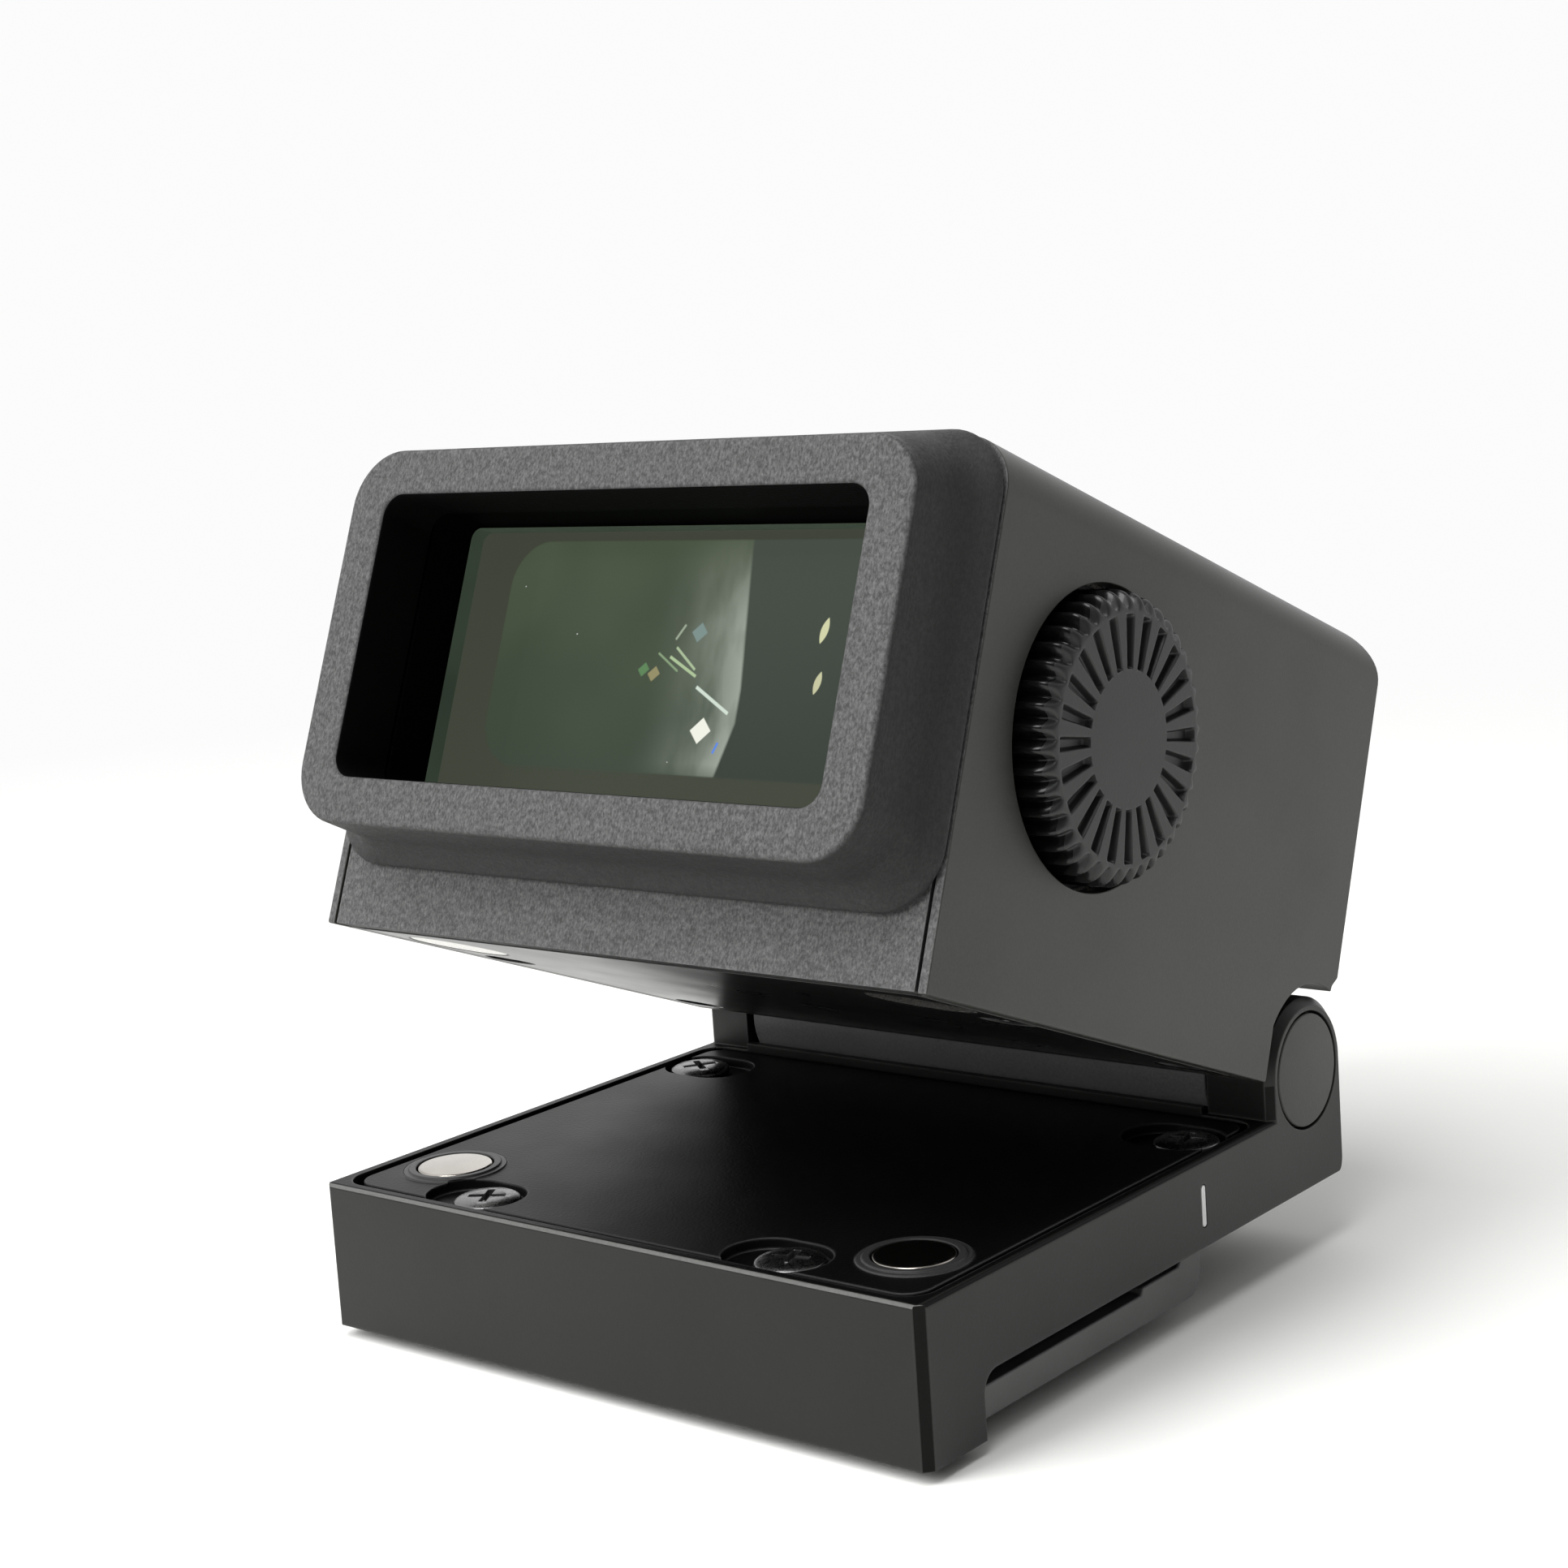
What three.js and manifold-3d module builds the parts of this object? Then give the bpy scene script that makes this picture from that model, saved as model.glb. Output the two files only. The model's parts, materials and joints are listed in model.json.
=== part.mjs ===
// A clip-on tilting electronic viewfinder: a square base that slides into an accessory shoe, and a
// viewfinder head that tilts up about a hinge at the base's rear edge.
// Millimetres, +Z up. The eyepiece end faces -Y and the hinge is at the +Y end.
// Inside this file the base's front face is y = 0 and its floor is z = 0; the exported group is moved
// so that the origin is the centre of the shoe foot's sole.
// The head is drawn closed (level) and its group is turned about the hinge to the rest tilt.
import * as THREE from "three";
import { mergeVertices } from "three/addons/utils/BufferGeometryUtils.js";
import Module from "manifold-3d";

// ---- driving dimensions ----
const WIDTH = 38; // base and head, side to side
const DEPTH = 38; // base, front to rear
const HALF = WIDTH / 2;
const GAP = 0.15; // running and seating gap between neighbouring pieces
const SEGMENTS = 24; // facets round a full circle

const BASE = {
  top: 4.46, // top of the side walls
  wall: 1.1,
  floor: 1.2,
  skirtDepth: 4.34, // the lip that hangs down at the front, front to rear
  skirtDrop: 3.08,
  skirtFillet: 1.0,
  rebateWall: 0.65, // wall left outside the cover plate
  ribFront: 30.05, // cross rib between the electronics bay and the hinge trough
  ribThick: 0.45,
  ribTop: 4.86,
};
const PLATE = { thick: 0.9, drop: 0.3, front: 0.7, rear: 29.9, corner: 1.4 };
const PLATE_TOP = BASE.top - PLATE.drop;
const PLATE_UNDER = PLATE_TOP - PLATE.thick;
const RINGS = [{ radius: 2.8, height: 0.22 }, { radius: 2.4, height: 0.42 }]; // steps round each magnet
const HINGE = { y: 34.2, z: 6.28, earRadius: 3.8, pinRadius: 1.5, capRadius: 2.97, capDepth: 0.55 };
const EAR_INNER = { left: -15.9, right: 15.2 }; // inner faces of the two ears
const BARREL = { radius: 3.55, left: -15.65, right: 14.95, bore: 2.2, washerRoom: 2.55 };
const REST_TILT = 21.4; // degrees the head stands above closed

const HEAD = {
  front: -0.1,
  bottom: 5.11,
  top: 30.0,
  rear: 36.15,
  heel: 30.05, // where the underside ends, in front of the hinge
  heelTop: 11.4, // lower end of the rear face
  notchRadius: 4.5, // hollow round the ears
  wall: 1.2,
  sideRound: 2.8,
  rearRound: 2.5,
};
const MAGNET = { x: 14.8, y: 5.3, radius: 1.95, height: 1.6 };
const COVER_SCREWS = { front: 2.6, frontX: 9.75, rear: 26.4, rearX: 16.3 };
const DIAL = { y: 10.2, z: 18.6, radius: 6.85, hole: 7.15, face: 20.55, faceRadius: 5.95, bore: 1.25 };
// The dial's spiral cam moves the lens cell by perRadian for each radian of turn.
const SPIRAL = { mean: 3.8, perRadian: 0.573, sweep: 172, width: 1.25, depth: 0.6 };
const FOLLOWER = { y: DIAL.y - SPIRAL.mean, radius: 0.5, tip: 16.85 };
const DIAL_POST = { root: 15.3, flange: 1.45, flangeTop: 15.9, tip: 18.7 };
const OPENING = { x: 15.3, low: 12.0, high: 26.35, corner: 1.1 }; // the eyecup's opening
const BOTTOM_PLATE = { x: 17.65, front: 1.15, rear: 28.7, top: 6.2 };
const STRIKE = { radius: 2.55, thick: 0.7 };
const BEZEL = { x: 15.8, low: 11.5, high: 26.85, inner: 15.1, front: -1.45, shelf: 1.95, rear: 2.9 };
const EYECUP = { front: -5.0, halfFront: 17.65, lowFront: 9.68, highFront: 28.9, corner: 3.3 };
const OPTICS = { x: 14.9, low: 9.9, high: 28.3, wall: 0.95, front: 3.3, rear: 26.4 };
const CELL = { x: 13.7, low: 11.1, high: 27.1, front: 5.4, rear: 14.4, wall: 1.1 };
const DISPLAY = { y: 26.6, half: 5.6, low: 14.6, high: 23.8 };
const GUARD = { front: 4.8, rear: 23.8, halfWidth: 18.4, top: -0.95, low: -2.5, corner: 1.2 };
const CONNECTOR = { halfWidth: 7, low: -2.5, high: -0.9, front: 1.6 };
const CONTACT_PLACES = [-5, -2.5, 0, 2.5, 5];
const FLEX = { width: 7, thick: 0.25 };
const FOOT = { width: 18.6, neck: 12.4, length: 17.4, front: 5.0, gap: 1.7, thick: 1.9 };
const FOOT_CENTRE_Y = FOOT.front + FOOT.length / 2;
const SOLE_Z = -(FOOT.gap + FOOT.thick);

// ---- materials ----
const material = (color, roughness, metalness) =>
  new THREE.MeshStandardMaterial({ color, roughness, metalness });
const finish = {
  shell: material("#4c4c49", 0.6, 0.5),
  grain: material("#5c5c5d", 0.75, 0.2),
  black: material("#121314", 0.7, 0),
  gloss: material("#0d0e0f", 0.2, 0),
  dial: material("#50504e", 0.45, 0.3),
  steel: material("#a7a59e", 0.3, 1),
  dark: material("#3b3b3b", 0.4, 0.9),
  nickel: material("#c4c0b6", 0.22, 1),
  gold: material("#c9a24a", 0.3, 1),
  board: material("#1d4a33", 0.6, 0),
  flex: material("#a8672a", 0.5, 0),
  glass: material("#5a6a58", 0.05, 0),
  screen: material("#14181c", 0.1, 0),
  mark: material("#f1f0ea", 0.7, 0),
  guard: material("#55564f", 0.4, 0),
};

// ---- shapes and solids ----
const wasm = await Module();
wasm.setup();

function solid(geometry) {
  const bare = geometry.clone();
  bare.deleteAttribute("normal");
  bare.deleteAttribute("uv");
  const merged = mergeVertices(bare, 1e-4);
  const triVerts = new Uint32Array(merged.index.array);
  const vertProperties = merged.attributes.position.array;
  return new wasm.Manifold(new wasm.Mesh({ numProp: 3, vertProperties, triVerts }));
}

function geometryOf(body) {
  const { vertProperties, triVerts, numProp, numVert } = body.getMesh();
  const points = new Float32Array(numVert * 3);
  for (let i = 0; i < numVert; i++) {
    points.set(vertProperties.subarray(i * numProp, i * numProp + 3), i * 3);
  }
  const geometry = new THREE.BufferGeometry();
  geometry.setAttribute("position", new THREE.BufferAttribute(points, 3));
  geometry.setIndex(new THREE.BufferAttribute(new Uint32Array(triVerts), 1));
  geometry.computeVertexNormals();
  return geometry;
}

function addTo(group, name, body, look) {
  const mesh = new THREE.Mesh(geometryOf(body), look);
  mesh.name = name;
  group.add(mesh);
  return mesh;
}

const joined = (...bodies) => bodies.reduce((sum, body) => sum.add(body));
const cut = (body, ...tools) => tools.reduce((rest, tool) => rest.subtract(tool), body);

function block(x0, x1, y0, y1, z0, z1) {
  const box = new THREE.BoxGeometry(x1 - x0, y1 - y0, z1 - z0);
  return solid(box.translate((x0 + x1) / 2, (y0 + y1) / 2, (z0 + z1) / 2));
}

// A flat shape pushed along one axis. Shapes for X are drawn as (y, z), for Y as (x, z), for Z as (x, y).
const AXES = {
  x: new THREE.Vector3(1, 0, 0),
  y: new THREE.Vector3(0, 1, 0),
  z: new THREE.Vector3(0, 0, 1),
};
function prism(axis, shape, from, to, curveSegments = 4) {
  const bar = new THREE.ExtrudeGeometry(shape, {
    depth: to - from,
    bevelEnabled: false,
    curveSegments,
  });
  const turn = new THREE.Matrix4();
  if (axis === "x") turn.makeBasis(AXES.y, AXES.z, AXES.x);
  if (axis === "y") turn.makeBasis(AXES.x, AXES.z, AXES.y.clone().negate());
  const start = axis === "y" ? to : from;
  return solid(bar.applyMatrix4(turn).translate(...AXES[axis].clone().multiplyScalar(start)));
}

// A round bar along an axis, centred on (a, b) in the plane across it.
function rod(axis, a, b, radius, from, to, segments = SEGMENTS) {
  const bar = new THREE.CylinderGeometry(radius, radius, to - from, segments);
  const mid = (from + to) / 2;
  if (axis === "x") bar.rotateZ(-Math.PI / 2).translate(mid, a, b);
  if (axis === "y") bar.translate(a, mid, b);
  if (axis === "z") bar.rotateX(Math.PI / 2).translate(a, b, mid);
  return solid(bar);
}

function roundedRect(a0, a1, b0, b1, radius) {
  const shape = new THREE.Shape();
  shape.moveTo(a0 + radius, b0);
  shape.lineTo(a1 - radius, b0);
  shape.absarc(a1 - radius, b0 + radius, radius, -Math.PI / 2, 0);
  shape.lineTo(a1, b1 - radius);
  shape.absarc(a1 - radius, b1 - radius, radius, 0, Math.PI / 2);
  shape.lineTo(a0 + radius, b1);
  shape.absarc(a0 + radius, b1 - radius, radius, Math.PI / 2, Math.PI);
  shape.lineTo(a0, b0 + radius);
  shape.absarc(a0 + radius, b0 + radius, radius, Math.PI, 1.5 * Math.PI);
  return shape;
}

// A rounded rectangular tube along Y.
function frameY(x, low, high, corner, y0, y1, wall) {
  const outer = prism("y", roundedRect(-x, x, low, high, corner), y0, y1);
  const inside = roundedRect(-x + wall, x - wall, low + wall, high - wall, Math.max(corner - wall, 0.4));
  return cut(outer, prism("y", inside, y0 - 1, y1 + 1));
}

// A cross-head screw pointing down -Z with the top of its head at z = 0.
function screw(headRadius, headThick, shankRadius, length) {
  const profile = [
    [0, -length],
    [shankRadius, -length],
    [shankRadius, -headThick],
    [headRadius, -headThick],
    [headRadius, -0.15],
    [headRadius - 0.2, 0],
    [0, 0],
  ].map(([r, z]) => new THREE.Vector2(r, z));
  const body = solid(new THREE.LatheGeometry(profile, 12).rotateX(Math.PI / 2));
  const arm = headRadius * 0.55;
  const slot = headRadius * 0.13;
  const deep = headThick * 0.7;
  return cut(body, block(-arm, arm, -slot, slot, -deep, 1), block(-slot, slot, -arm, arm, -deep, 1));
}

// ---- base ----
function baseProfile() {
  const { top, skirtDepth, skirtDrop, skirtFillet } = BASE;
  const shape = new THREE.Shape();
  shape.moveTo(0, -skirtDrop);
  shape.lineTo(skirtDepth, -skirtDrop);
  shape.lineTo(skirtDepth, -skirtFillet);
  shape.absarc(skirtDepth + skirtFillet, -skirtFillet, skirtFillet, Math.PI, Math.PI / 2, true);
  shape.lineTo(DEPTH, 0);
  shape.lineTo(DEPTH, top);
  shape.lineTo(0, top);
  return shape;
}

function earProfile() {
  const { y, z, earRadius } = HINGE;
  const shape = new THREE.Shape();
  shape.moveTo(y - earRadius, 0.5);
  shape.lineTo(y - earRadius, z);
  shape.absarc(y, z, earRadius, Math.PI, 0, true);
  shape.lineTo(y + earRadius, 0.5);
  return shape;
}

const screwPlaces = [
  ["front_left", -COVER_SCREWS.frontX, COVER_SCREWS.front],
  ["front_right", COVER_SCREWS.frontX, COVER_SCREWS.front],
  ["rear_left", -COVER_SCREWS.rearX, COVER_SCREWS.rear],
  ["rear_right", COVER_SCREWS.rearX, COVER_SCREWS.rear],
];
const footScrewPlaces = [
  ["front_left", -4.2, FOOT.front + 3],
  ["front_right", 4.2, FOOT.front + 3],
  ["rear_left", -4.2, FOOT.front + FOOT.length - 3],
  ["rear_right", 4.2, FOOT.front + FOOT.length - 3],
];

function baseTray() {
  const { top, wall, floor, rebateWall, ribFront, ribThick, ribTop } = BASE;
  const outer = joined(
    prism("x", baseProfile(), -HALF, HALF),
    prism("x", earProfile(), -HALF, EAR_INNER.left, 12),
    prism("x", earProfile(), EAR_INNER.right, HALF, 12),
  );
  const bay = block(-HALF + wall, HALF - wall, wall, ribFront, floor, top + 1);
  const rebate = roundedRect(-HALF + rebateWall, HALF - rebateWall, rebateWall, ribFront, PLATE.corner);
  const trough = joined(
    block(EAR_INNER.left, EAR_INNER.right, ribFront + ribThick, DEPTH - wall, floor, top + 1),
    hingeRod(HINGE.earRadius + 0.05, EAR_INNER.left, EAR_INNER.right, 48),
  );
  let tray = cut(outer, bay, prism("z", rebate, PLATE_UNDER - GAP, top + 1), trough);
  const [ribLeft, ribRight] = [EAR_INNER.left + GAP, EAR_INNER.right - GAP];
  tray = joined(tray, block(ribLeft, ribRight, ribFront, ribFront + ribThick, 0.5, ribTop));
  for (const [, x, y] of screwPlaces) {
    tray = joined(tray, rod("z", x, y, 1.8, 0.5, PLATE_UNDER - GAP, 16));
  }
  for (const [, x, y] of footScrewPlaces) {
    tray = joined(tray, rod("z", x, y, 1.7, 0.5, 2.4, 16));
  }
  const holes = [
    ...screwPlaces.map(([, x, y]) => rod("z", x, y, 0.9, 0.6, top, 16)),
    ...footScrewPlaces.map(([, x, y]) => rod("z", x, y, 0.9, -1, 2.0, 16)),
    block(-CONNECTOR.halfWidth, CONNECTOR.halfWidth, CONNECTOR.front, 10, CONNECTOR.low, CONNECTOR.high),
    block(-5, 5, 2.0, 3.6, CONNECTOR.high - 0.5, floor + 0.5),
    block(HALF - 0.15, HALF + 1, 23.15, 23.65, 1.0, 3.2),
  ];
  for (const side of [-1, 1]) {
    const face = side * HALF;
    const inner = face - side * (HINGE.capDepth + GAP);
    holes.push(
      hingeRod(HINGE.capRadius + 0.18, face, inner),
      hingeRod(HINGE.pinRadius + 0.05, face, side * 10),
    );
  }
  return cut(tray, ...holes);
}

function coverPlate() {
  const { front, rear, corner } = PLATE;
  const x = HALF - BASE.rebateWall - GAP;
  const outline = roundedRect(-x, x, front + GAP, rear, corner - GAP);
  let plate = prism("z", outline, PLATE_UNDER, PLATE_TOP);
  for (const side of [-1, 1]) {
    const centre = [side * MAGNET.x, MAGNET.y];
    for (const { radius, height } of RINGS) {
      plate = joined(plate, rod("z", ...centre, radius, PLATE_UNDER, PLATE_TOP + height));
    }
    plate = cut(plate, rod("z", ...centre, MAGNET.radius + 0.05, PLATE_UNDER - 1, PLATE_TOP + 1));
  }
  const pockets = screwPlaces.flatMap(([, px, py]) => [
    rod("z", px, py, 2.05, PLATE_TOP - 0.5, PLATE_TOP + 1, 24),
    rod("z", px, py, 0.95, PLATE_UNDER - 1, PLATE_TOP, 16),
  ]);
  return cut(plate, ...pockets);
}

function baseBoard() {
  const board = block(-15.5, 15.5, 6.2, 24.2, 2.5, 2.75);
  const parts = [
    block(-9, -3, 12, 18, 2.7, 3.0),
    block(2, 6, 9, 13, 2.7, 3.0),
    block(8, 12, 16, 21, 2.7, 2.95),
  ];
  return joined(board, ...parts);
}

// A round bar on the hinge axis between two stations, given in either order.
function hingeRod(radius, a, b, segments = SEGMENTS) {
  return rod("x", HINGE.y, HINGE.z, radius, Math.min(a, b), Math.max(a, b), segments);
}

function hingePin(side) {
  const inner = side < 0 ? -12.2 : 11.5;
  return hingeRod(HINGE.pinRadius, inner, side * (HALF - HINGE.capDepth - 2 * GAP));
}

function hingeCap(side) {
  return hingeRod(HINGE.capRadius, side * HALF, side * (HALF - HINGE.capDepth));
}

function indexMark() {
  const shape = roundedRect(23.23, 23.57, 1.05, 3.15, 0.165);
  return prism("x", shape, HALF - 0.1, HALF, 4);
}

function shoeFoot() {
  const { width, neck, length, front, thick } = FOOT;
  const sole = roundedRect(-width / 2, width / 2, front, front + length, 1.2);
  const foot = joined(
    prism("z", sole, SOLE_Z, SOLE_Z + thick, 4),
    block(-neck / 2, neck / 2, front, front + length, SOLE_Z + 0.5, -GAP),
  );
  const holes = footScrewPlaces.flatMap(([, x, y]) => [
    rod("z", x, y, 1.35, SOLE_Z - 1, SOLE_Z + 0.95, 16),
    rod("z", x, y, 0.9, SOLE_Z - 1, 1, 16),
  ]);
  return cut(foot, ...holes);
}

function connectorBlock() {
  const { halfWidth, low, high, front } = CONNECTOR;
  const half = halfWidth - GAP;
  const body = block(-half, half, front + GAP, BASE.skirtDepth, low + GAP, high - GAP);
  const slots = CONTACT_PLACES.map((x) => block(x - 0.45, x + 0.45, front, BASE.skirtDepth + 1, -2.0, -1.4));
  return cut(body, ...slots);
}

// The slip-on guard: a U-shaped plate as wide as the base. Its lips run in the gap between the base and
// the foot, and its rails stand beside the foot. It pushes on from the rear, so the U is open at the front.
function footGuard() {
  const { front, rear, halfWidth, top, low, corner } = GUARD;
  const side = new THREE.Shape();
  side.moveTo(front, low);
  side.lineTo(rear - corner, low);
  side.absarc(rear - corner, low + corner, corner, -Math.PI / 2, 0);
  side.lineTo(rear, -0.3);
  side.lineTo(rear - 1.9, -0.3);
  side.lineTo(rear - 2.1, -0.6);
  side.lineTo(rear - 5.4, -0.6);
  side.lineTo(rear - 5.5, top);
  side.lineTo(front, top);
  const room = 0.25;
  const footRear = FOOT.front + FOOT.length + room;
  return cut(
    prism("x", side, -halfWidth, halfWidth),
    block(-FOOT.width / 2 - room, FOOT.width / 2 + room, 0, footRear, SOLE_Z, -FOOT.gap + room),
    block(-FOOT.neck / 2 - room, FOOT.neck / 2 + room, 0, footRear, SOLE_Z, 1),
  );
}

// ---- head ----
function headProfile() {
  const { front, bottom, top, rear, heel, heelTop, notchRadius, rearRound } = HEAD;
  const start = Math.PI - Math.acos((HINGE.y - heel) / notchRadius);
  const shape = new THREE.Shape();
  shape.moveTo(front, bottom);
  shape.lineTo(heel, bottom);
  shape.absarc(HINGE.y, HINGE.z, notchRadius, start, THREE.MathUtils.degToRad(72), true);
  shape.lineTo(rear - 0.5, heelTop - 0.5);
  shape.lineTo(rear, heelTop);
  shape.absarc(rear - rearRound, top - rearRound, rearRound, 0, Math.PI / 2);
  shape.lineTo(front, top);
  return shape;
}

function headCavity() {
  const { bottom, top, rear, heel, notchRadius, wall } = HEAD;
  const inner = notchRadius + wall;
  const start = Math.PI - Math.acos((HINGE.y - heel + wall) / inner);
  const shape = new THREE.Shape();
  shape.moveTo(-1, bottom - 1);
  shape.lineTo(heel - wall, bottom - 1);
  shape.absarc(HINGE.y, HINGE.z, inner, start, THREE.MathUtils.degToRad(82), true);
  shape.lineTo(rear - wall, top - wall - 1.5);
  shape.lineTo(rear - wall - 1.5, top - wall);
  shape.lineTo(-1, top - wall);
  return prism("x", shape, -HALF + wall, HALF - wall, 12);
}

function topRounded(halfWidth, low, high, radius) {
  const shape = new THREE.Shape();
  shape.moveTo(-halfWidth, low);
  shape.lineTo(halfWidth, low);
  shape.lineTo(halfWidth, high - radius);
  shape.absarc(halfWidth - radius, high - radius, radius, 0, Math.PI / 2);
  shape.absarc(-halfWidth + radius, high - radius, radius, Math.PI / 2, Math.PI);
  return shape;
}

const headScrewPlaces = [
  ["front_left", -16.1, 10.5],
  ["front_right", 16.1, 10.5],
  ["rear_left", -16.1, 26.4],
  ["rear_right", 16.1, 26.4],
];
function headHousing() {
  const { front, bottom, top, rear, sideRound } = HEAD;
  const outline = prism("x", headProfile(), -HALF, HALF, 12);
  const section = prism("y", topRounded(HALF, bottom, top, sideRound), front, rear);
  const bosses = headScrewPlaces.map(([, x, y]) => {
    const side = Math.sign(x);
    const x0 = Math.min(side * 14.95, side * (HALF - 1));
    const x1 = Math.max(side * 14.95, side * (HALF - 1));
    return block(x0, x1, y - 1.2, y + 1.2, BOTTOM_PLATE.top + GAP, 9.4);
  });
  const shell = joined(cut(outline.intersect(section), headCavity()), ...bosses);
  const seat = prism("y", topRounded(HALF - 0.5, bottom - 1, top - 0.5, sideRound - 0.5), front - 1, 1.1);
  return cut(
    shell,
    seat,
    rod("x", DIAL.y, DIAL.z, DIAL.hole, HALF - 2, HALF + 1, 64),
    ...headScrewPlaces.map(([, x, y]) => rod("z", x, y, 0.9, 5, 9.0, 16)),
  );
}

function frontPanel() {
  const x = HALF - 0.5 - GAP;
  const outline = topRounded(x, HEAD.bottom + 0.05, HEAD.top - 0.5 - GAP, HEAD.sideRound - 0.5 - GAP);
  const opening = roundedRect(-16.0, 16.0, 11.3, 27.05, 0.8);
  return cut(prism("y", outline, HEAD.front, 0.95), prism("y", opening, -2, 2));
}

function bottomPlate() {
  const { x, front, rear, top } = BOTTOM_PLATE;
  const plate = block(-x, x, front, rear, HEAD.bottom, top);
  const recesses = [-1, 1].map((side) =>
    rod("z", side * MAGNET.x, MAGNET.y, STRIKE.radius + GAP / 2, 0, HEAD.bottom + STRIKE.thick + 0.05),
  );
  const holes = headScrewPlaces.flatMap(([, sx, sy]) => [
    rod("z", sx, sy, 1.4, 0, HEAD.bottom + 0.75, 16),
    rod("z", sx, sy, 0.9, 0, 8, 16),
  ]);
  return cut(plate, ...recesses, ...holes);
}
// The eyecup: a rounded rectangular ring that narrows from the housing to its front face.
// Each section is a rounded rectangle, given as [y, half width, low, high, corner radius].
const eyecupSections = [
  [HEAD.front - GAP, 18.4, 8.3, 29.7, 2.7],
  [HEAD.front - 0.5, 18.4, 8.35, 29.7, 2.8],
  [HEAD.front - 1.0, 17.95, 8.95, 29.3, 3.0],
  [HEAD.front - 1.8, 17.8, 9.2, 29.15, 3.2],
  [EYECUP.front + 0.35, 17.65, 9.6, 28.95, 3.4],
  [EYECUP.front, 17.3, 9.95, 28.6, 3.1],
];
function eyecup() {
  const perCorner = 6;
  const points = [];
  for (const [y, half, low, high, radius] of eyecupSections) {
    const corners = [
      [half - radius, low + radius, -90],
      [half - radius, high - radius, 0],
      [-half + radius, high - radius, 90],
      [-half + radius, low + radius, 180],
    ];
    for (const [cx, cz, startDegrees] of corners) {
      for (let i = 0; i <= perCorner; i++) {
        const angle = THREE.MathUtils.degToRad(startDegrees + (90 * i) / perCorner);
        points.push(cx + radius * Math.cos(angle), y, cz + radius * Math.sin(angle));
      }
    }
  }
  const ring = 4 * (perCorner + 1);
  const faces = [];
  for (let s = 0; s + 1 < eyecupSections.length; s++) {
    for (let i = 0; i < ring; i++) {
      const a = s * ring + i;
      const b = s * ring + ((i + 1) % ring);
      faces.push(a, b, a + ring, b, b + ring, a + ring);
    }
  }
  const last = (eyecupSections.length - 1) * ring;
  for (let i = 1; i + 1 < ring; i++) {
    faces.push(0, i + 1, i);
    faces.push(last, last + i, last + i + 1);
  }
  const loft = new THREE.BufferGeometry();
  loft.setAttribute("position", new THREE.Float32BufferAttribute(points, 3));
  loft.setIndex(faces);
  const { x, low, high, corner } = OPENING;
  const seat = roundedRect(-BEZEL.x - GAP, BEZEL.x + GAP, BEZEL.low - GAP, BEZEL.high + GAP, 0.8);
  return cut(
    solid(loft),
    prism("y", roundedRect(-x, x, low, high, corner), -8, 2, 6),
    prism("y", seat, BEZEL.front - GAP, 2),
  );
}

function windowBezel() {
  const { x, low, high, inner, front, shelf, rear } = BEZEL;
  const wall = x - inner;
  const body = prism("y", roundedRect(-x, x, low, high, 0.7), front, rear);
  const well = prism("y", roundedRect(-inner, inner, low + wall, high - wall, 0.8), front - 1, shelf);
  const eye = prism("y", roundedRect(-13.2, 13.2, 13.4, 25.1, 1.5), 0, rear + 1);
  return cut(body, well, eye, block(13.45, 14.85, 1.5, rear + 1, 17.6, 20.8));
}

function eyeWindow() {
  const glass = roundedRect(-BEZEL.inner + GAP, BEZEL.inner - GAP, 12.35, 26.0, 0.7);
  return prism("y", glass, 0.85, BEZEL.shelf - GAP);
}

function opticsBarrel() {
  const { x, low, high, wall, front, rear } = OPTICS;
  const tube = frameY(x, low, high, 1.2, front, rear, wall);
  const slot = block(x - 2, x + 1, 4.1, 8.9, DIAL.z - 0.8, DIAL.z + 0.8);
  return cut(tube, slot);
}

// The sliding lens cell, its two lenses and the ring that keeps them in.
function lensCell() {
  const { x, low, high, front, rear, wall } = CELL;
  const tube = frameY(x, low, high, 1.0, front, rear, wall);
  const stop = frameY(x - 0.5, low + 0.5, high - 0.5, 0.9, 9.3, 10.3, wall + 0.6);
  const pin = rod("x", FOLLOWER.y, DIAL.z, FOLLOWER.radius, x - 0.6, FOLLOWER.tip, 16);
  return joined(tube, stop, pin);
}

// A rectangular lens with rounded corners, domed front and rear by the given heights.
function lens(halfX, low, high, y0, y1, bulgeFront, bulgeRear) {
  const mid = (low + high) / 2;
  const reach = Math.hypot(halfX, (high - low) / 2);
  const blank = prism("y", roundedRect(-halfX, halfX, low, high, 1.4), y0 - bulgeFront, y1 + bulgeRear);
  const profile = [new THREE.Vector2(0, y0 - bulgeFront)];
  const steps = 4;
  for (let i = 1; i <= steps; i++) {
    const r = (reach * i) / steps;
    profile.push(new THREE.Vector2(r, y0 - bulgeFront * (1 - (i / steps) ** 2)));
  }
  for (let i = steps; i >= 1; i--) {
    const r = (reach * i) / steps;
    profile.push(new THREE.Vector2(r, y1 + bulgeRear * (1 - (i / steps) ** 2)));
  }
  profile.push(new THREE.Vector2(0, y1 + bulgeRear));
  const dome = solid(new THREE.LatheGeometry(profile, 24).translate(0, 0, mid));
  return blank.intersect(dome);
}

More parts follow.
